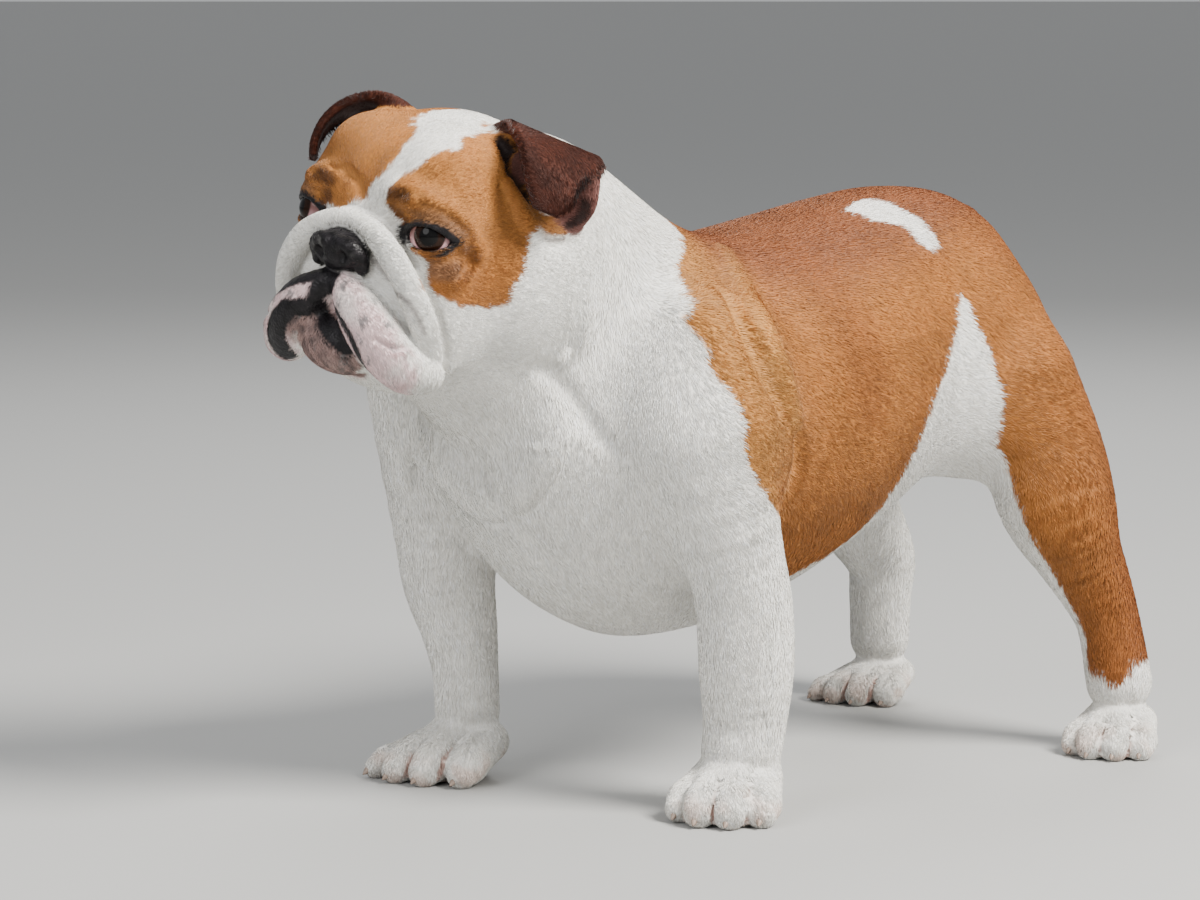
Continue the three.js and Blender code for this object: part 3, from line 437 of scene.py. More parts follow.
def make_head():
    flesh = Flesh()

    def ball(side, centre, radii, soft, carve=False):
        flesh.ball(np.multiply(centre, (side, 1, 1)), radii, soft, carve)

    def fold(side, points, radii, soft, carve=False):
        flesh.fold(mirrored(side, *points), radii, soft, carve)

    for form in SKULL:
        ball(1, *form)
    for side in (1, -1):
        for form in SKULL_SIDES:
            ball(side, *form)
    for form in MUZZLE:
        ball(1, *form)
    for side in (1, -1):
        ball(side, *CHEEK_BEFORE_JAW)
        fold(side, BROW, [7, 8, 7.5, 6, 5], 9)
        ball(side, *BAG)
        fold(side, BESIDE_ROLL, [6, 7, 7, 6], 5)
    # Chin, then the hanging lips, then the roll over the nose
    ball(1, *CHIN)
    for side in (1, -1):
        fold(side, LIP, [9, 14.5, 16.5, 15, 11], 7)
    for side in (1, -1):
        fold(side, ROLL, ROLL_RADII, 2)
    for side in (1, -1):
        # The lids over the eyeball, opened from corner to corner, and the creases
        ball(side, EYE, [EYE_RADIUS + 3] * 3, 5)
        fold(side, EYE_SLIT, [1, 5.5, 8, 6.5, 1], 1.5, carve=True)
        ball(side, EYE, [EYE_RADIUS + 0.2] * 3, 0.5, carve=True)
        for crease in FACE_CREASES:
            fold(side, *crease, carve=True)
    flesh.fold(RIGHT_FROWN, [1, 2, 2, 1], 5, carve=True)
    # Nose, and the furrow that runs up the forehead
    ball(1, *NOSE, 2.5)
    for side in (1, -1):
        fold(side, NOSE_WING, NOSE_WING_RADII, 3)
    flesh.fold(FURROW, [9, 6], 8, carve=True)
    for side in (1, -1):
        # Nostrils and the line of the mouth
        ball(side, *NOSTRIL, 2, carve=True)
        fold(side, NOSTRIL_SLIT, [2.4, 2, 1.4], 1.5, carve=True)
        fold(side, MOUTH, [2.4, 3, 3.6, 3.8, 3], 2, carve=True)
    flesh.fold(PHILTRUM, [1.1, 1.4, 1.6], 2, carve=True)
    for side in (1, -1):
        flesh.sheet(EAR, side, EAR_FLAP, 5)
        burr = [ear_place(side, *row[:3]) for row in EAR_BURR]
        flesh.fold(burr, [row[3] for row in EAR_BURR], 7)
        flesh.ball(ear_place(side, *EAR_CUP), EAR_CUP_RADII, 5, carve=True)
        if side > 0:  # only the near ear shows what is under its flap
            flesh.fold(EAR_HOLLOW, [2, 4, 4.5, 3], 3, carve=True)
            flesh.fold(EAR_RIM, [3, 4.5, 5, 4.5, 3], 5)
    return flesh


BODY, HEAD = make_body(), make_head()
HEAD_REACH = 150.0
NECK_SOFT = 10.0


def dog(p, margin=24.0):
    """The whole dog: the body and the head joined softly, and cut flat at the floor."""
    d = BODY.at(p, margin)
    q = to_head(p)
    near = np.flatnonzero(np.abs(q).max(1) < HEAD_REACH)
    d[near] = soft_least(d[near], HEAD.at(q[near], margin), NECK_SOFT)
    return np.maximum(d, -p[:, 2])


print("forms", len(BODY.forms), "in the body,", len(HEAD.forms), "in the head")

# %% [markdown]
# ## One skin over all the flesh
# The surface is where the field is zero. A grid over the dog is fine at the head
# and coarser at the trunk. Each cell that the surface crosses gets one point, and
# each crossed edge joins the four points round it. The points then slide along
# the field's slope until they lie on the surface.

# %% Grid
def spaced(low, high, fine_low, fine_high, fine, coarse):
    """Grid lines from low to high, a fine step apart within the fine part and coarse outside it."""
    parts = [(low, fine_low, coarse), (fine_low, fine_high, fine), (fine_high, high, coarse)]
    lines = [np.linspace(a, b, max(2, round((b - a) / step) + 1)) for a, b, step in parts if b > a]
    return np.unique(np.concatenate(lines).round(6))


def cell_of(lines, count):
    return np.clip(np.searchsorted(lines, np.arange(count), side="right") - 1, 0, len(lines) - 2)


NEAR_SHARE = 0.8  # of a block's diagonal, how near a block's corners are to the surface


def grid_values(field, xs, ys, zs, skip=4):
    """The field on the grid, worked out exactly only in the blocks the surface may cross."""
    axes = (xs, ys, zs)
    picks = [np.unique(np.r_[np.arange(0, len(a), skip), len(a) - 1]) for a in axes]
    rough = np.stack(np.meshgrid(*[a[k] for a, k in zip(axes, picks)], indexing="ij"), -1)
    far = field(rough.reshape(-1, 3), FAR).reshape(rough.shape[:3])
    spans = [np.diff(a[k]) for a, k in zip(axes, picks)]
    diagonal = np.sqrt(spans[0][:, None, None] ** 2 + spans[1][:, None] ** 2 + spans[2] ** 2)
    least = np.full(diagonal.shape, np.inf)
    for i in (0, 1):
        for j in (0, 1):
            for k in (0, 1):
                corner = far[i : far.shape[0] - 1 + i, j : far.shape[1] - 1 + j, k : far.shape[2] - 1 + k]
                least = np.minimum(least, np.abs(corner))
    near = least < diagonal * NEAR_SHARE
    cells = np.ix_(*[cell_of(k, len(a)) for a, k in zip(axes, picks)])
    values = far[cells].astype(np.float32)
    index = np.argwhere(near[cells])
    points = np.stack([a[index[:, n]] for n, a in enumerate(axes)], 1)
    values[tuple(index.T)] = field(points)
    return values


def nets(field, xs, ys, zs):
    """Surface nets: a point for each crossed cell, at the mean of its edge crossings, and quads."""
    axes = (xs, ys, zs)
    values = grid_values(field, xs, ys, zs)
    inside = values < 0
    total = np.zeros([len(a) - 1 for a in axes] + [3])
    count = np.zeros(total.shape[:3])
    fans = []
    for n in range(3):
        first, second = [slice(None)] * 3, [slice(None)] * 3
        first[n], second[n] = slice(0, -1), slice(1, None)
        first, second = tuple(first), tuple(second)
        edge = np.argwhere(inside[first] != inside[second])
        a, b = (n + 1) % 3, (n + 2) % 3
        whole = (edge[:, a] > 0) & (edge[:, b] > 0)
        whole &= (edge[:, a] < len(axes[a]) - 1) & (edge[:, b] < len(axes[b]) - 1)
        edge = edge[whole]
        one, two = (values[s][tuple(edge.T)].astype(float) for s in (first, second))
        place = np.stack([axis[edge[:, k]] for k, axis in enumerate(axes)], 1).astype(float)
        place[:, n] += one / (one - two) * (axes[n][edge[:, n] + 1] - axes[n][edge[:, n]])
        ring = []
        for da, db in ((0, 0), (1, 0), (1, 1), (0, 1)):
            cell = edge.copy()
            cell[:, a] -= da
            cell[:, b] -= db
            np.add.at(total, tuple(cell.T), place)
            np.add.at(count, tuple(cell.T), 1)
            ring.append(cell)
        fans.append((ring, inside[first][tuple(edge.T)]))
    used = np.argwhere(count > 0)
    number = np.full(count.shape, -1)
    number[tuple(used.T)] = np.arange(len(used))
    points = total[tuple(used.T)] / count[tuple(used.T)][:, None]
    quads = []
    for ring, facing in fans:
        quad = np.stack([number[tuple(cell.T)] for cell in ring], 1)
        quad[facing] = quad[facing][:, ::-1]
        quads.append(quad)
    return points, np.vstack(quads)


PROBES = np.array([[1, -1, -1], [-1, -1, 1], [-1, 1, -1], [1, 1, 1]], float)


def value_and_slope(field, p, step=0.6):
    """Mean of four probes, and the slope sum(v k) / 4h over the corners k of a small tetrahedron."""
    tried = [field(p + step * k) for k in PROBES]
    slope = sum(v[:, None] * k for v, k in zip(tried, PROBES)) / (4 * step)
    return sum(tried) / 4, slope


def onto(field, p, rounds=2, limit=2.0):
    """Slides points to the surface: p - d g / |g|^2, never more than the limit at a time."""
    for _ in range(rounds):
        d, g = value_and_slope(field, p)
        move = d[:, None] * g / np.maximum((g * g).sum(1), 0.05)[:, None]
        size = np.linalg.norm(move, axis=1)
        p = p - move * np.minimum(1, limit / np.maximum(size, 1e-9))[:, None]
    return p, g / np.maximum(np.linalg.norm(g, axis=1), 1e-9)[:, None]

# %% [markdown]
# The grid is finer where it crosses the head than elsewhere.

# %% Skin
FINE, COARSE = ((1.7, 3.6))
xs = spaced(-178.0, 178.0, -96.0, 90.0, FINE, COARSE)
ys = spaced(-426.0, 256.0, -426.0, -300.0, FINE, COARSE)
zs = spaced(-3.0, 455.0, 268.0, 455.0, FINE, COARSE)
points, quads = nets(dog, xs, ys, zs)
points, normals = onto(dog, points)
print("skin points", len(points), "faces", len(quads))


def mesh_object(name, points, faces, smooth=True):
    """A mesh from arrays of points and of faces with the same number of corners."""
    mesh = bpy.data.meshes.new(name)
    points, faces = np.asarray(points, np.float32), np.asarray(faces, np.int32)
    mesh.vertices.add(len(points))
    mesh.vertices.foreach_set("co", points.ravel())
    mesh.loops.add(faces.size)
    mesh.loops.foreach_set("vertex_index", faces.ravel())
    mesh.polygons.add(len(faces))
    mesh.polygons.foreach_set("loop_start", np.arange(len(faces), dtype=np.int32) * faces.shape[1])
    mesh.polygons.foreach_set("use_smooth", np.full(len(faces), smooth))
    mesh.update(calc_edges=True)
    mesh.validate()
    made = bpy.data.objects.new(name, mesh)
    bpy.context.scene.collection.objects.link(made)
    return made


skin = mesh_object("skin", placed(points), quads)
FLESH_NODES = [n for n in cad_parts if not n.startswith("eye_")]
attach(skin, "root")
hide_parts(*FLESH_NODES)

# %% [markdown]
# ## Markings
# She is red and white. A red saddle lies over the back, flanks and left hind leg,
# there is a red patch round each eye, the ears are dark, and the nose and the lips
# are black. Each marking has a measured edge: a number that is more than zero
# inside it, worked out from an outline seen from the side or from the front. A
# little noise makes the edge ragged, as the hairs of one colour lie over the next.

# %% Noise and outlines
def waves(p, size, seed, count=7):
    """Smooth noise of about -1 to 1: the mean of sin(k . p + f) for random k of length 2 pi / size."""
    draw = np.random.default_rng(seed)
    k = draw.normal(size=(count, 3))
    k *= 2 * np.pi / size * draw.uniform(0.6, 1.5, (count, 1)) / np.linalg.norm(k, axis=1)[:, None]
    return np.sin(p @ k.T + draw.uniform(0, 2 * np.pi, count)).mean(1) * 1.6


def within(q, outline):
    """Distance to a closed outline, more than zero inside, by the least distance to its edges."""
    a = np.asarray(outline, float)
    b = np.roll(a, -1, 0)
    least, inside = np.full(len(q), np.inf), np.zeros(len(q), bool)
    for p, n in zip(a, b):
        span, rel = n - p, q - p
        t = np.clip(rel @ span / (span @ span), 0, 1)
        least = np.minimum(least, ((rel - t[:, None] * span) ** 2).sum(1))
        if span[1]:
            inside ^= ((p[1] > q[:, 1]) != (n[1] > q[:, 1])) & (rel[:, 0] < span[0] / span[1] * rel[:, 1])
    return np.where(inside, 1, -1) * np.sqrt(least)


def stroke(q, points, radii):
    """How far a point is inside a tube along a curve: the greatest of r - distance."""
    flesh = Flesh()
    flesh.fold(points, radii, 1)
    return -flesh.forms[0][0](q)


# %% Outlines of the red
LEFT_SADDLE = [  # y and z, seen from her left
    (-136, 500), (-166, 366), (-190, 349), (-206, 332), (-224, 317), (-222, 297), (-223, 282), (-208, 261),
    (-210, 244), (-208, 228), (-186, 208), (-164, 192), (-150, 176), (-144, 152), (-120, 142), (-82, 148),
    (-56, 152), (-36, 168), (-26, 192), (-13, 224), (4, 252), (22, 274), (38, 295), (47, 312), (53, 318),
    (60, 302), (68, 286), (76, 266), (79, 246), (83, 220), (90, 200), (95, 181), (96, 165), (100, 140),
    (112, 116), (128, 92), (142, 74), (150, 68), (160, 50), (176, 66), (215, 72), (330, 90), (330, 500),
]
RIGHT_SADDLE = [  # the same, seen from her right
    (-136, 500), (-166, 366), (-180, 336), (-184, 306), (-170, 276), (-176, 256), (-150, 232), (-120, 212),
    (-84, 202), (-50, 210), (-20, 228), (14, 258), (40, 268), (70, 256), (96, 232), (120, 214), (160, 206),
    (330, 220), (330, 500),
]
BACK_SPOT = [  # x and y, seen from above
    (32, 9), (24, 24), (23, 39), (36, 47), (50, 49), (66, 52), (76, 50), (81, 40), (75, 33),
    (62, 30), (53, 14),
]
SPOT_FLOOR = 336.0  # the spot fades away below this height
FACE_TURN = 65.0  # mm round the face for each radian
FACE_AXIS_Y = 20.0
LEFT_PATCH = [  # degrees round the face, and height, in the head's frame
    (68, 79), (58, 79), (49, 79), (44, 78), (44, 75), (43, 72), (34, 71), (29, 66), (24, 58),
    (19, 51), (15, 45), (13, 38), (17, 30), (23, 25),
    (27, 13), (32, 6), (34, -5), (38, -11), (44, -16), (50, -20), (58, -21), (64, -18), (68, -8), (72, 2),
    (76, 20), (84, 36), (100, 50), (100, 79), (82, 79),
]
RIGHT_PATCH = [
    (-12, 87), (0, 84), (15, 81), (17, 75), (13, 70), (14, 65), (11, 56), (6, 46), (4, 37), (-6, 31),
    (-20, 27), (-26, 13), (-32, 6), (-34, -5), (-38, -11), (-45, -17), (-56, -21), (-64, -17), (-70, -4),
    (-76, 14), (-84, 34), (-100, 50), (-100, 92), (-60, 92), (-34, 90),
]
BLAZE_STREAK = [(28, -54, 71), (31, -46, 76), (35, -37, 80)]
INNER_WAY = np.array([-0.93, -0.36])  # from the near hind leg's middle to its inner side
INNER_EDGE, GROIN_HEIGHT, THIGH_FRONT = 13.0, 211.0, 80.0
AWAY = 20.0  # mm, the amount where a mark is out of reach


def red_amount(p):
    """Millimetres inside the red: the saddle of each side, less the spot and inner leg, or a patch."""
    left, right = within(p[:, 1:], LEFT_SADDLE), within(p[:, 1:], RIGHT_SADDLE)
    body = np.where(p[:, 0] > 0, left, right)
    body = np.minimum(body, -within(p[:, :2], BACK_SPOT) + np.maximum(SPOT_FLOOR - p[:, 2], 0))
    leg = np.array(LIMBS["left_hind"][::-1], float)
    centre = np.stack([np.interp(p[:, 2], leg[:, 2], leg[:, k]) for k in (0, 1)], 1)
    inner = (p[:, :2] - centre) @ INNER_WAY - INNER_EDGE
    inner -= np.maximum(p[:, 2] - GROIN_HEIGHT, 0) * 0.8 + np.maximum(THIGH_FRONT - p[:, 1], 0) * 2
    body = np.where(p[:, 0] > 20, np.minimum(body, -inner), body)
    q = to_head(p)
    turn = np.arctan2(q[:, 0], FACE_AXIS_Y - q[:, 1])
    face = np.stack([turn * FACE_TURN, q[:, 2]], 1)
    scale = [FACE_TURN * np.pi / 180, 1]
    patch = np.maximum(*[within(face, np.array(o) * scale) for o in (LEFT_PATCH, RIGHT_PATCH)])
    patch = np.maximum(patch, stroke(q, BLAZE_STREAK, [1.5, 2.6, 1]))
    head = (q[:, 1] < 60) & (np.abs(q).max(1) < 130)
    return np.where(head & (q[:, 2] > -78), patch, np.where(head, -AWAY, body))


def ear_amount(p):
    """Millimetres inside the ears' flaps and the dark skin next to them."""
    q = to_head(p)
    flaps = Flesh()
    for side in (1, -1):
        flaps.sheet(EAR, side, EAR_FLAP[1:], 1)
    return 2.2 - flaps.at(q)


BLACK_STROKES = [  # under the nose, the lips' edges, the mouth and the top of the chin; the wide one inside the right lip is black lip and painted shadow of the mouth
    ([(2, -88, 12), (1, -89, 0), (-2, -90, -12), (-5, -91, -19)], [10, 9, 9, 7]),
    ([(-8, -88, -4), (-22, -88, -9), (-34, -88, -17), (-43, -84, -26)], [9, 9, 8, 5]),
    ([(-4, -90, -19), (6, -91, -23), (19, -96, -28), (28, -97, -36), (33, -94, -47),
      (30, -86, -61), (22, -68, -74)], [5, 4, 3, 3, 3.5, 4, 3]),
    # wide and deep black inside the right lip: black lip with painted shadow of the mouth
    ([(-25, -96, -31), (-35, -96, -43), (-40, -90, -57), (-40, -78, -69)], [7, 8, 9, 7]),
    ([(-16, -94, -31), (-5, -93, -33), (8, -93, -39), (21, -90, -50)], [6, 7, 7, 5]),
    ([(-24, -95, -30), (-12, -91, -27), (-4, -87, -31), (4, -88, -37), (14, -90, -42)],
     [5, 6, 7, 7, 5]),
]
LID_STROKES = [
    (((33, -61, 23), (42, -64, 28), (52, -63, 30), (61, -56, 27), (66, -46, 20)),
     [4, 3.2, 3.4, 3.6, 3.2]),
    (((34, -62, 20), (41, -65, 13), (51, -64, 10), (60, -56, 11), (65, -47, 17)),
     [4, 2.2, 1.8, 2, 3]),
]


def black_amount(p):
    """Millimetres inside the nose leather, the lips, the rims of the lids and the sockets; inside the right
    lip the black is partly painted shadow of the mouth.
    """
    q = to_head(p)
    nose = Flesh()
    nose.ball(*NOSE, 2)
    for side in (1, -1):
        nose.fold(mirrored(side, *NOSE_WING), NOSE_WING_RADII, 3)
    black = np.where(q[:, 1] < -60, 1.2 - nose.at(q), -AWAY)
    for side in (1, -1):
        socket = EYE_RADIUS + 2.4 - np.linalg.norm(q - EYE * [side, 1, 1], axis=1)
        black = np.maximum(black, np.where(q[:, 1] < -44, socket, -AWAY))
        for points, radii in LID_STROKES:
            black = np.maximum(black, stroke(q, mirrored(side, *points), radii))
    for points, radii in BLACK_STROKES:
        black = np.maximum(black, stroke(q, points, radii))
    return black


def pink_amount(p):
    """Millimetres inside the thinly haired skin of the hanging lips and the chin."""
    q = to_head(p)
    pink = stroke(q, [(0, -76, -50), (0, -72, -52)], [28, 24])
    for side in (1, -1):
        lip = mirrored(side, (8, -82, -14), (24, -85, -27), (38, -81, -43), (50, -72, -58))
        pink = np.maximum(pink, stroke(q, lip, [10, 15, 17, 15]))
    return pink


marks = {
    "red": red_amount(points),
    "ear": ear_amount(points),
    "black": black_amount(points),
    "pink": pink_amount(points),
}
print("red covers", round(float((marks["red"] > 0).mean()), 2), "of the skin's points")

# %% [markdown]
# ## Colours of the hair
# The red is a warm tan on the flank and the face, deeper on the thigh and along
# the top of the back, and light at the tail. The white has a breath of cream, and
# the skin shows pink through it where it is thin.

# %% Colours
TAN = np.array([0.37, 0.14, 0.030])
DEEP_RED = np.array([0.22, 0.066, 0.014])
BACK_RED = np.array([0.20, 0.062, 0.025])
FACE_TAN = np.array([0.45, 0.185, 0.044])
TAIL_TAN = np.array([0.55, 0.29, 0.09])
WHITE = np.array([0.90, 0.88, 0.83])
BLUSH = np.array([0.80, 0.60, 0.52])
LIP_PINK = np.array([0.80, 0.62, 0.62])
EAR_DARK = np.array([0.062, 0.014, 0.006])
LEATHER = np.array([0.007, 0.006, 0.007])
CHIN_MOTTLE = np.array([0.25, 0.16, 0.14])
# near-black painted shade for the hollow under the ear's flap and the ear's folds
HOLLOW_SHADE = np.array([0.016, 0.007, 0.006])
TOE_GAP = np.array([0.42, 0.20, 0.15])
EAR_BROWN = np.array([0.20, 0.085, 0.070])
# gold tan, also the colour of the painted highlight along the shoulder's ridge
GOLD = np.array([0.55, 0.27, 0.07])
# grey-brown painted shade for the folds over and under the lids
LID_FOLD_SHADE = np.array([0.15, 0.085, 0.055])
GREY_PINK = np.array([0.20, 0.16, 0.18])
# dark painted shade for the groove between the roll over the nose and the lip
GROOVE_SHADE = np.array([0.10, 0.06, 0.06])
GROOVE_LINE = [(20, -71, 4), (31, -70, -4), (52, -77, -12), (60, -73, -21), (63, -69, -32)]
CHIN_LINE = [(-16, -84, -42), (4, -84, -50), (14, -76, -62)]
LIP_TOP = [(15, -83, -3), (22, -80, -5), (24, -77, -8)]
SHOULDER_LIGHT_AND_SHADE_PAINT = [  # painted highlight along the shoulder's ridge and painted shade behind it: colour, line, radii, low, high, share
    (GOLD, [(50, -128, 350), (92, -150, 330), (135, -174, 305), (143, -165, 276), (141, -153, 250)],
     [5, 8, 9, 9, 6], -5, 4, 0.5),
    (DEEP_RED, [(49, -74, 353), (87, -76, 335), (111, -76, 310), (125, -71, 283), (131, -74, 255)],
     [10, 18, 22, 24, 16], -12, 14, 0.45),
]
BURR_RADII = [row[3] + 2 for row in EAR_BURR]
EAR_COLOURS_AND_HOLLOW_SHADE = [  # colour, line, radii, share: the ear's own tan and brown, and near-black painted shade in the hollow under the flap and in the ear's folds
    (FACE_TAN * 0.75, [(64, 2, 44), (72, 7, 34), (80, 14, 28), (88, 28, 30)], [5, 7, 8, 8], 1.0),
    (EAR_BROWN, [ear_place(1, *row[:3]) for row in EAR_BURR], BURR_RADII, 1.0),
    (EAR_BROWN, [ear_place(-1, *row[:3]) for row in EAR_BURR], BURR_RADII, 1.0),
    (EAR_BROWN, [(55, 15, 62), (55, 15, 53)], [8, 8], 1.0),
    (HOLLOW_SHADE, EAR_HOLLOW, [3.5, 6, 6, 4.5], 1.0),
    (HOLLOW_SHADE, [(109, 20, 62), (110, 12, 57), (112, 6, 50)], [2, 3.5, 2], 1.0),
    (HOLLOW_SHADE, [(93, 34, 42), (92, 32, 33), (85, 27, 26)], [4, 4, 2.5], 0.9),
    (EAR_DARK * 1.6, [(61, -3, 49), (67, 0, 38), (75, 2, 27), (82, 12, 20), (86, 24, 18)],
     [1.6, 2, 2, 2, 1.2], 0.9),
]
# painted shade in the face's wrinkles: over the inner brow, beside the inner corner of the eye, along the
# frown, and in the folds over and under the lids; colour, line, radii, share
FACE_FOLD_SHADE_PAINT = [
    (DEEP_RED * 0.35, ((23, -65, 43), (31, -66, 45), (39, -65, 44)), [3, 4.5, 2.5], 0.8),
    (DEEP_RED * 0.35, ((26, -64, 34), (32, -62, 28), (35, -62, 22)), [4, 5, 5], 0.8),
    (DEEP_RED * 0.5, FROWN, [1.5, 2.4, 2.6, 2.6, 2.4, 1.5], 0.6),
    (LID_FOLD_SHADE, ((42, -60, 6), (57, -57, 3), (65, -49, 4), (68, -40, 13)), [3.5, 5, 5, 3.5], 0.6),
    (LID_FOLD_SHADE, ((42, -64, 33), (53, -61, 35), (62, -54, 32), (68, -44, 24)), [2.5, 3, 3, 3], 0.6),
]


def mix(a, b, t):
    """a + (b - a) t, row by row."""
    return a + (b - a) * t[:, None]


def hair_colour(p, n, m):
    """The colour at each place, from its marks: red over white, then ears, pink skin and black, with painted
    light and shade: a highlight and shade on the shoulder, shade in the face's folds, the groove and the
    ear's hollow.
    """
    q = to_head(p)
    rough = 1.6 * waves(p, 30, 1) + 1.2 * waves(p, 11, 2) + 0.9 * waves(p, 4.5, 3)
    red = mix(TAN, DEEP_RED, ramp(p[:, 1], 90, 190) * ramp(330 - p[:, 2], 0, 120) * 0.85)
    red = mix(red, BACK_RED, ramp(n[:, 2], 0.45, 0.95) * ramp(p[:, 2], 300, 345) * 0.8)
    tail = ramp(p[:, 1], 168, 196) * ramp(p[:, 2], 300, 325) * ramp(36 - np.abs(p[:, 0]), 0, 20)
    red = mix(red, TAIL_TAN, tail)
    red = mix(red, GOLD, ramp(-p[:, 1], 128, 190) * 0.55)
    # painted highlight along the shoulder's ridge and painted shade behind it
    for paint, points, radii, low, high, share in SHOULDER_LIGHT_AND_SHADE_PAINT:
        red = mix(red, paint, ramp(stroke(p, points, radii), low, high) * share)
    head = (np.abs(q).max(1) < 110) & (q[:, 1] < 60)
    red = np.where(head[:, None], mix(FACE_TAN, TAN, ramp(-q[:, 2], -40, 0)), red)
    # painted shade in the face's wrinkles and lid folds, on both sides
    for side in (1, -1):
        for paint, points, radii, share in FACE_FOLD_SHADE_PAINT:
            red = mix(red, paint, ramp(stroke(q, mirrored(side, *points), radii), -3.5, 2) * share)
    red = red * (1 + 0.10 * waves(p, 60, 4) + 0.07 * waves(p, 16, 5))[:, None]
    blush = ramp(30 - p[:, 2], 0, 18) * 0.5 * ramp(waves(p, 20, 6), -0.2, 0.6)
    white = mix(WHITE + 0 * red, BLUSH, blush)
    colour = mix(white, red, ramp(m["red"] + rough, -1.2, 1.2))
    pink = mix(LIP_PINK + 0 * red, WHITE, ramp(waves(p, 24, 7), -0.1, 0.7) * 0.5)
    chin = stroke(q, CHIN_LINE, [15, 18, 14])
    pink = mix(pink, CHIN_MOTTLE * (1 + 0.7 * waves(p, 9, 12))[:, None], ramp(chin, -4, 2) * 0.9)
    pink = mix(pink, GREY_PINK, ramp(stroke(q, LIP_TOP, [4, 5, 4]), -2, 2) * 0.8)
    freckle = ramp(waves(p, 11, 8) + 0.5 * waves(p, 5, 9), 0.62, 0.85)
    pink = mix(pink, LEATHER + 0.16, freckle * 0.75)
    # painted shade along the groove between the roll and the lip
    groove_shade = stroke(q, GROOVE_LINE, [1.2, 1.8, 1.8, 1.5, 1])
    colour = mix(colour, GROOVE_SHADE, ramp(groove_shade, -1.2, 1) * 0.5)
    colour = mix(colour, pink, ramp(m["pink"] + 0.5 * rough, -1, 2) * ramp(-q[:, 1], 58, 68))
    ears = EAR_DARK * (1 + 0.3 * waves(p, 18, 10))[:, None]
    colour = mix(colour, ears, ramp(m["ear"] + 0.3 * rough, -0.6, 0.8))
    # the ear's own colours, then painted shade in its hollow and folds
    for paint, points, radii, share in EAR_COLOURS_AND_HOLLOW_SHADE:
        colour = mix(colour, paint, ramp(stroke(q, points, radii) + 0.3 * rough, -1.5, 1.5) * share)
    between_toes = np.full(len(p), -AWAY)
    for paw in PAWS.values():
        for gap in gaps(paw, GAP_STEPS[1:]):
            between_toes = np.maximum(between_toes, stroke(p, gap, [1.2, 2.4, 2.4]))
    colour = mix(colour, TOE_GAP, ramp(between_toes, -1.2, 1.2) * 0.75)
    leather = LEATHER * (1.4 + waves(p, 6, 11))[:, None]
    return mix(colour, leather, ramp(m["black"] + 0.2 * rough, -0.8, 1.0))


tints = np.clip(hair_colour(points, normals, marks), 0, 1)
print("mean colour of the skin", tints.mean(0).round(2))

# %% [markdown]
# ## Coat
# The coat is short, fine and close. Each tuft is a thin blade of two faces: its
# root is in the skin, it lies along the lie of the hair, and its tip stands a
# little off the surface. Blades are closer, shorter and narrower on the face, ears
# and feet, and there are none on the nose or the edges of the lips.

# %% The lie of the hair
NOSE_TIP = np.array([0.0, -80.0, 0.0])
FACE_MIDDLE = np.array([0.0, -10.0, 10.0])


def lie_of(p, n):
    """Back along the trunk, down the legs and chest, away from the nose; then flat on the skin."""
    q = to_head(p)
    down = np.array([0.0, 0.12, -1.0])
    back = np.array([0.0, 1.0, -0.38])
    low, front = ramp(235 - p[:, 2], 0, 90), ramp(-p[:, 1] - 200, 0, 50)
    lie = mix(back + 0 * p, down, np.maximum(low, front))
    face = (q - NOSE_TIP) / np.linalg.norm(q - NOSE_TIP, axis=1)[:, None] + np.array([0, 0.25, -0.1])
    near = ramp(120 - np.linalg.norm(q - FACE_MIDDLE, axis=1), 0, 30)
    lie = mix(lie, face @ HEAD_MATRIX.T, near)
    swirl = np.stack([waves(p, 70, 20 + k) for k in range(3)], 1)
    lie = lie + 0.2 * swirl
    lie -= (lie * n).sum(1)[:, None] * n
    return lie / np.maximum(np.linalg.norm(lie, axis=1), 1e-6)[:, None]


# %% [markdown]
# The roots are drawn by area and closeness. Each blade bends with the surface, as
# its middle and tip are moved along the normal.

# %% Scatter
TUFTS = 594000
TUFT_PIECES = 6
LENGTHS, WIDTHS, LIFTS = (6.6, 3.2), (0.74, 0.28), (0.5, 0.2)  # mm, and how much less on the face and feet
SINK = 0.35  # mm from the skin down to a blade's root
MOST_SHIFT = 6.0
LOWEST = 0.1  # mm over the floor
draw = np.random.default_rng(7)
triangles = np.vstack([quads[:, [0, 1, 2]], quads[:, [0, 2, 3]]])
a, b, c = (points[triangles[:, k]] for k in range(3))
areas = np.linalg.norm(np.cross(b - a, c - a), axis=1) / 2
middle = (a + b + c) / 3
head_near = ramp(125 - np.linalg.norm(to_head(middle) - FACE_MIDDLE, axis=1), 0, 25)
foot_near = ramp(60 - middle[:, 2], 0, 25)
fine = np.maximum(head_near, foot_near * 0.8)
bare = ramp(np.maximum(marks["black"][triangles].mean(1), 0), 0, 1.5)
weights = areas * (1 + 1.6 * fine) * (1 - bare) * (middle[:, 2] > 1.5)
chosen = np.searchsorted(np.cumsum(weights) / weights.sum(), draw.random(TUFTS))
chosen = np.minimum(chosen, len(triangles) - 1)
u, v = np.sqrt(draw.random(TUFTS)), draw.random(TUFTS)
shares = np.stack([1 - u, u * (1 - v), u * v], 1)


def carried(values):
    """Values at the roots, from the three corners of the triangle that each root is on."""
    return np.einsum("nk,nk...->n...", shares, values[triangles[chosen]])


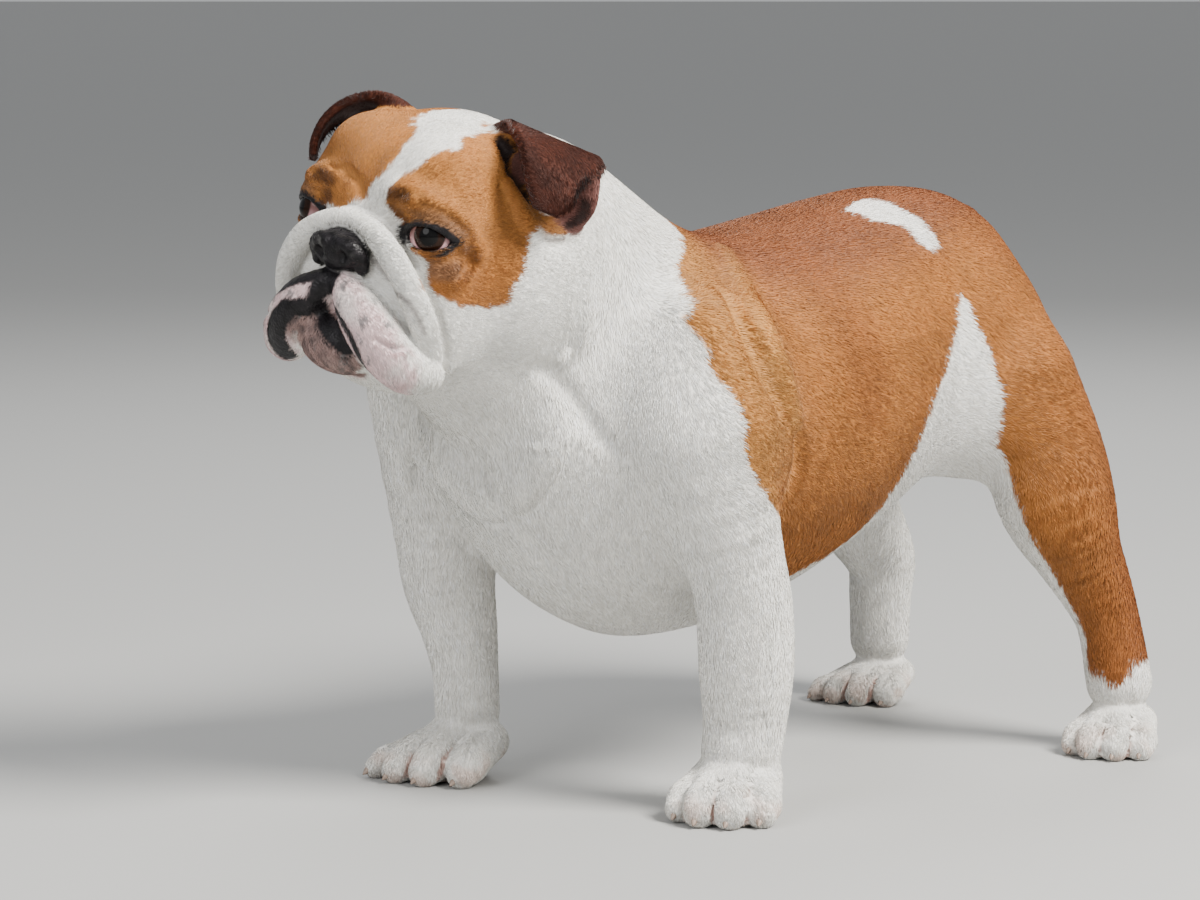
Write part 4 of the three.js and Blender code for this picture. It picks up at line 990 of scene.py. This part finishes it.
roots = carried(points)
outward = carried(normals)
outward /= np.linalg.norm(outward, axis=1)[:, None]
root_marks = {name: carried(values) for name, values in marks.items()}
lie = lie_of(roots, outward)
across = np.cross(outward, lie)
turned = draw.normal(0, 0.16, TUFTS)[:, None]
lie, across = lie + across * turned, across - lie * turned
small = fine[chosen]
length = (LENGTHS[0] - LENGTHS[1] * small) * draw.uniform(0.7, 1.25, TUFTS)
width = (WIDTHS[0] - WIDTHS[1] * small) * draw.uniform(0.7, 1.3, TUFTS)
lift = (LIFTS[0] - LIFTS[1] * small) * draw.uniform(0.3, 1.3, TUFTS)
length, width, lift = length[:, None], width[:, None], lift[:, None]


over = np.maximum(dog(roots, 10.0), 0)[:, None]  # how far the mesh of the skin bridges a hollow


def laid(reach, height):
    """Places along the lie, each moved along the normal until it stands at its height over the skin."""
    p = roots + lie * reach
    return p + outward * np.clip(height + over - dog(p, 10.0)[:, None], -MOST_SHIFT, MOST_SHIFT)


belly, tips = laid(length * 0.45, lift), laid(length, lift * 0.8)
half = across * width / 2
blades = np.stack([roots - outward * SINK, belly - half, belly + half, tips], 1)
blades[:, :, 2] = np.maximum(blades[:, :, 2], LOWEST)
shade = draw.normal(1, 0.12, TUFTS)[:, None]
hues = np.clip(hair_colour(roots, outward, root_marks) * shade, 0, 1)
print("tufts", TUFTS, "of", round(float(length.min()), 1), "to", round(float(length.max()), 1), "mm")


# %% [markdown]
# The colour of a blade comes from its root. For the baked colours each blade also
# gets a small patch of a map, at its root's place on an unwrap of the skin: the
# skin is cut into charts by part and by the side that it faces, side by side.

# %% Unwrap
CHART_SPAN = 960.0  # mm, wider than any part of the dog
CHART_EDGE = 0.04
LEG_TOP, LEG_INSIDE = 165.0, 75.0


def unwrap(p, n):
    """Chart = body part and facing side; place in the chart = the two other axes, over the span."""
    part = np.where(np.abs(to_head(p)).max(1) < 105, 1, 0)
    low, behind = p[:, 2] < LEG_TOP, np.where(p[:, 1] < 0, 0, 2)
    part = np.where(low & (p[:, 0] > LEG_INSIDE), 2 + behind, part)
    part = np.where(low & (p[:, 0] < -LEG_INSIDE), 3 + behind, part)
    axis = np.abs(n).argmax(1)
    side = axis * 2 + (n[np.arange(len(n)), axis] > 0)
    chart = part * 6 + side
    others = np.array([[1, 2], [0, 2], [0, 1]])[axis]
    flat = (np.take_along_axis(p, others, 1) + CHART_SPAN / 2) / CHART_SPAN
    flat = CHART_EDGE + (1 - 2 * CHART_EDGE) * flat
    return np.stack([(chart % 6 + flat[:, 0]) / 6, (chart // 6 + flat[:, 1]) / 6], 1)


PATCH = 0.003
flat_roots = unwrap(roots, outward)
corners = np.array([(0, -0.5), (-0.5, 0), (0.5, 0), (0, 0.5)]) * PATCH


def coat_piece(number):
    """Every sixth tuft as one mesh, so that no piece is too large."""
    part = slice(number, None, TUFT_PIECES)
    count = len(range(TUFTS)[part])
    start = np.arange(count)[:, None] * 4
    faces = np.concatenate([start + [0, 1, 3], start + [0, 3, 2]], 1).reshape(-1, 3)
    piece = mesh_object(f"coat_{number}", placed(blades[part].reshape(-1, 3)), faces)
    colours = np.ones((count, 4, 4), np.float32)
    colours[:, :, :3] = hues[part][:, None, :]
    tip = np.array([0.82, 1.0, 1.0, 1.12])[None, :, None]
    colours[:, :, :3] = np.clip(colours[:, :, :3] * tip, 0, 1)
    layer = piece.data.color_attributes.new("hair", "FLOAT_COLOR", "POINT")
    layer.data.foreach_set("color", colours.ravel())
    places = (flat_roots[part][:, None, :] + corners)[:, [0, 1, 3, 0, 3, 2]]
    piece.data.uv_layers.new(name="OFBake").data.foreach_set("uv", places.astype(np.float32).ravel())
    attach(piece, "root")
    return piece


coat = [coat_piece(k) for k in range(TUFT_PIECES)]
print("coat faces", sum(len(piece.data.polygons) for piece in coat))

# %% [markdown]
# ## Finishes
# The hair is a soft satin: rough enough not to shine, with a little sheen where the
# light grazes it. The bare skin of the nose and lips is moist leather with small
# pebbles. Both read their colour from an attribute stored on the mesh.

# %% Materials
def finish(name, rough=0.5, specular=0.5, sheen=0.0, coat=0.0):
    """A material with a principled shader, whose constant values are on its own sockets."""
    made = bpy.data.materials.new(name)
    made.use_nodes = True
    shader = made.node_tree.nodes["Principled BSDF"]
    values = {"Roughness": rough, "Specular IOR Level": specular, "Sheen Weight": sheen, "Coat Weight": coat}
    for socket, value in values.items():
        shader.inputs[socket].default_value = value
    return made, made.node_tree, shader


def node(tree, kind, links=(), **values):
    """A node with its settings, and links from (output, input name) pairs."""
    made = tree.nodes.new("ShaderNode" + kind)
    for key, value in values.items():
        if key in made.inputs:
            made.inputs[key].default_value = value
        else:
            setattr(made, key, value)
    for output, name in links:
        tree.links.new(output, made.inputs[name])
    return made


def scaled_colour(tree, layer, low, high, scale):
    """The stored colour times a noise between low and high, and the place that the noise reads."""
    stored = node(tree, "Attribute", attribute_name=layer)
    place = node(tree, "TexCoord")
    noise = node(tree, "TexNoise", [(place.outputs["Object"], "Vector")], Scale=scale, Detail=3.0)
    span = node(tree, "MapRange", [(noise.outputs["Fac"], "Value")])
    span.inputs["To Min"].default_value, span.inputs["To Max"].default_value = low, high
    factors = [(stored.outputs["Color"], 0), (span.outputs["Result"], 1)]
    times = node(tree, "VectorMath", factors, operation="MULTIPLY")
    return times.outputs["Vector"], place.outputs["Object"]


hair, tree, shader = finish("hair", rough=0.58, specular=0.28, sheen=0.12)
colour, _ = scaled_colour(tree, "hair", 0.86, 1.12, 90.0)
tree.links.new(colour, shader.inputs["Base Color"])
for piece in coat:
    piece.data.materials.append(hair)

hide, tree, shader = finish("hide", specular=0.2)
colour, place = scaled_colour(tree, "hair", 0.7, 1.05, 160.0)
tree.links.new(colour, shader.inputs["Base Color"])
bare_layer = node(tree, "Attribute", attribute_name="bare")
gloss = node(tree, "MapRange", [(bare_layer.outputs["Fac"], "Value")])
gloss.inputs["To Min"].default_value, gloss.inputs["To Max"].default_value = 0.7, 0.4
tree.links.new(gloss.outputs["Result"], shader.inputs["Roughness"])
pebbles = node(tree, "TexVoronoi", [(place, "Vector")], Scale=620.0)
grain = node(tree, "TexNoise", [(place, "Vector")], Scale=900.0, Detail=2.0)
choices = [(bare_layer.outputs["Fac"], 0), (grain.outputs["Fac"], 2), (pebbles.outputs["Distance"], 3)]
mixed = node(tree, "Mix", choices)
bump = node(tree, "Bump", [(mixed.outputs[0], "Height")], Strength=0.5, Distance=0.0006)
tree.links.new(bump.outputs["Normal"], shader.inputs["Normal"])
skin.data.materials.append(hide)
layer = skin.data.color_attributes.new("hair", "FLOAT_COLOR", "POINT")
layer.data.foreach_set("color", np.c_[tints, np.ones(len(tints))].astype(np.float32).ravel())
bare_points = ramp(marks["black"], -1, 1)
layer = skin.data.attributes.new("bare", "FLOAT", "POINT")
layer.data.foreach_set("value", bare_points.astype(np.float32))
print("bare share of the skin's points", round(float(bare_points.mean()), 3))

# %% [markdown]
# ## Eyes
# A bulldog's eye is round and dark, set low in the face. The ball has a clear bulge
# over the iris. Below the iris shows the pink of the haw, as her lower lid hangs.

# %% Eyes
GAZE = math.radians(34)
IRIS, PUPIL, BULGE = 0.76, 0.42, 0.9  # radians, radians, mm
EYE_RINGS, EYE_SPOKES = 48, 64
PUPIL_BLACK = np.array([0.003, 0.003, 0.003])
IRIS_BROWN = np.array([0.016, 0.006, 0.003])
HAW_DARK, HAW_PINK = np.array([0.20, 0.10, 0.09]), np.array([0.72, 0.42, 0.44])


def tube_faces(rings, spokes, start=0):
    """Quads between each ring of points and the next."""
    i, j = np.meshgrid(np.arange(rings), np.arange(spokes), indexing="ij")
    first, k = start + i * spokes, (j + 1) % spokes
    second = first + spokes
    return np.stack([first + j, first + k, second + k, second + j], -1).reshape(-1, 4)


def eyeball(name, side):
    """A ball round its gaze: radius R + bulge (1 - (a / iris)^2)^2 at each angle a from the gaze."""
    angles = np.linspace(0, np.pi, EYE_RINGS + 1)
    turns = np.linspace(0, 2 * np.pi, EYE_SPOKES + 1)[:-1]
    angle, turn = np.meshgrid(angles, turns, indexing="ij")
    radius = EYE_RADIUS - 0.1 + BULGE * np.clip(1 - (angle / (IRIS * 1.15)) ** 2, 0, 1) ** 2
    gaze = np.array([side * math.sin(GAZE), -math.cos(GAZE), 0.16])
    right = unit(np.cross(gaze, [0, 0, 1]))
    up = np.cross(right, gaze)
    ring = right * np.cos(turn)[..., None] + up * np.sin(turn)[..., None]
    place = radius[..., None] * (gaze * np.cos(angle)[..., None] + ring * np.sin(angle)[..., None])
    grid = from_head(EYE * [side, 1, 1] + place.reshape(-1, 3))
    ball = mesh_object(name, placed(grid), tube_faces(EYE_RINGS, EYE_SPOKES))
    a, t = angle.ravel(), turn.ravel()
    rays = 1 + 0.25 * np.sin(t * 37) * np.sin(t * 11 + 1)
    iris = IRIS_BROWN * rays[:, None]
    haw = mix(HAW_DARK + 0 * iris, HAW_PINK, ramp(-np.sin(t), -0.2, 0.6))
    shown = mix(PUPIL_BLACK + 0 * iris, iris, ramp(a, PUPIL - 0.05, PUPIL + 0.03))
    shown = mix(shown, haw, ramp(a, IRIS - 0.05, IRIS + 0.05))
    layer = ball.data.color_attributes.new("eye", "FLOAT_COLOR", "POINT")
    layer.data.foreach_set("color", np.c_[shown, np.ones(len(shown))].astype(np.float32).ravel())
    ball.data.materials.append(eye_look)
    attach(ball, "root")
    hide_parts(name)
    return ball


eye_look, tree, shader = finish("wet_eye", rough=0.08, specular=0.1, coat=0.12)
shader.inputs["Coat Roughness"].default_value = 0.02
colour, _ = scaled_colour(tree, "eye", 0.8, 1.15, 700.0)
tree.links.new(colour, shader.inputs["Base Color"])
eyes = [eyeball("eye_left", 1), eyeball("eye_right", -1)]
print("eyes", len(eyes), "of radius", EYE_RADIUS, "mm")

# %% [markdown]
# ## Claws
# Each toe ends in a short blunt claw of grey-brown horn, which curves down to the
# ground from under the hair of the toe.

# %% Claws
CLAW_LENGTH, CLAW_RADIUS, CLAW_RINGS, CLAW_SIDES = 13.0, 3.1, 9, 14


def claw_rings(paw, across, reach, r):
    """Rings round a curve from the toe's end forward and down, of radius R sqrt(1 - t^2.2)."""
    t = np.linspace(0, 1, CLAW_RINGS)
    forward = reach + r * 0.55 + CLAW_LENGTH * t
    up = 9.5 - 6.5 * t**1.7
    line = np.stack([across * (1.06 + 0.05 * t), forward, up], 1)
    radius = CLAW_RADIUS * np.sqrt(np.maximum(1 - t**2.2, 0.012))
    turn = np.linspace(0, 2 * np.pi, CLAW_SIDES + 1)[:-1]
    ring = np.stack([np.cos(turn), 0.35 * np.sin(turn), 0.95 * np.sin(turn)], 1)
    flat = (line[:, None, :] + radius[:, None, None] * ring).reshape(-1, 3)
    return np.array([paw_place(paw, *row) for row in flat])


claw_points, claw_faces = [], []
for paw in PAWS.values():
    for toe in paw[4]:
        start = len(claw_points) * CLAW_RINGS * CLAW_SIDES
        claw_faces.append(tube_faces(CLAW_RINGS - 1, CLAW_SIDES, start))
        claw_points.append(claw_rings(paw, *toe))
claws = mesh_object("claws", placed(np.vstack(claw_points)), np.vstack(claw_faces))
horn, tree, shader = finish("horn", rough=0.36, specular=0.45)
place = node(tree, "TexCoord")
streaks = node(tree, "TexNoise", [(place.outputs["Object"], "Vector")], Scale=420.0, Detail=3.0)
tone = node(tree, "ValToRGB", [(streaks.outputs["Fac"], "Fac")])
tone.color_ramp.elements[0].color = (0.16, 0.115, 0.09, 1)
tone.color_ramp.elements[1].color = (0.42, 0.32, 0.26, 1)
tree.links.new(tone.outputs["Color"], shader.inputs["Base Color"])
ridges = node(tree, "Bump", [(streaks.outputs["Fac"], "Height")], Strength=0.3, Distance=0.0003)
tree.links.new(ridges.outputs["Normal"], shader.inputs["Normal"])
claws.data.materials.append(horn)
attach(claws, "root")
print("claws", len(claw_points))

# %% [markdown]
# ## Camera, floor and light
# The camera stands where the photograph was taken from, a little over the dog's
# back. The floor is plain and pale, and large soft lights stand in for an open sky.

# %% Camera
CAMERA_PLACE = (1916.5, -2014.5, 510.4)
CAMERA_AZIMUTH, CAMERA_PITCH = 46.3, 6.17
FOCAL_PIXELS, PICTURE_WIDTH, SENSOR = 4160.0, 1200.0, 36.0
FLOOR_RADIUS = 2000.0
camera = bpy.data.objects.new("camera", bpy.data.cameras.new("camera"))
camera.data.sensor_width = SENSOR
camera.data.clip_end = 2 * FLOOR_RADIUS
camera.data.lens = SENSOR * FOCAL_PIXELS / PICTURE_WIDTH
camera.location = placed(CAMERA_PLACE)
camera.rotation_euler = (math.radians(90 - CAMERA_PITCH), 0, math.radians(CAMERA_AZIMUTH))
bpy.context.scene.collection.objects.link(camera)
bpy.context.scene.camera = camera
print("lens", round(camera.data.lens, 1), "mm")

# %% [markdown]
# The floor is a disc so wide that its edge is at the horizon. Three round lamps
# light the dog: from her left, from the front and from behind.

# %% Floor and light
turns = np.linspace(0, 2 * np.pi, 97)[:-1]
rim = np.stack([np.cos(turns), np.sin(turns), 0 * turns], 1) * FLOOR_RADIUS
round_rim = np.arange(len(turns))
floor = mesh_object(
    "floor",
    np.vstack([rim, [(0, 0, 0)]]),
    np.stack([round_rim, np.roll(round_rim, -1), np.full(len(turns), len(turns))], 1),
)
pale, tree, shader = finish("floor", rough=0.9, specular=0.2)
shader.inputs["Base Color"].default_value = (0.44, 0.44, 0.43, 1)
floor.data.materials.append(pale)


def softbox(name, place, size, watts, colour=(1, 1, 1)):
    """A round lamp that faces a point a little over the middle of the floor."""
    light = bpy.data.lights.new(name, "AREA")
    light.shape, light.size, light.energy, light.color = "DISK", size, watts, colour
    lamp = bpy.data.objects.new(name, light)
    lamp.location = place
    lamp.rotation_euler = (Vector((0, 0, 0.25)) - Vector(place)).to_track_quat("-Z", "Y").to_euler()
    bpy.context.scene.collection.objects.link(lamp)


softbox("key", (2.3, 0.1, 2.4), 1.3, 270, (1.0, 0.97, 0.92))
softbox("front", (0.4, -2.6, 1.7), 1.8, 36)
softbox("rear", (-1.6, 2.0, 2.4), 1.6, 46)
world = bpy.data.worlds.new("world")
world.use_nodes = True
sky = world.node_tree.nodes["Background"]
sky.inputs["Color"].default_value = (0.95, 0.97, 1.0, 1)
sky.inputs["Strength"].default_value = 0.52
bpy.context.scene.world = world
print("floor faces", len(floor.data.polygons))
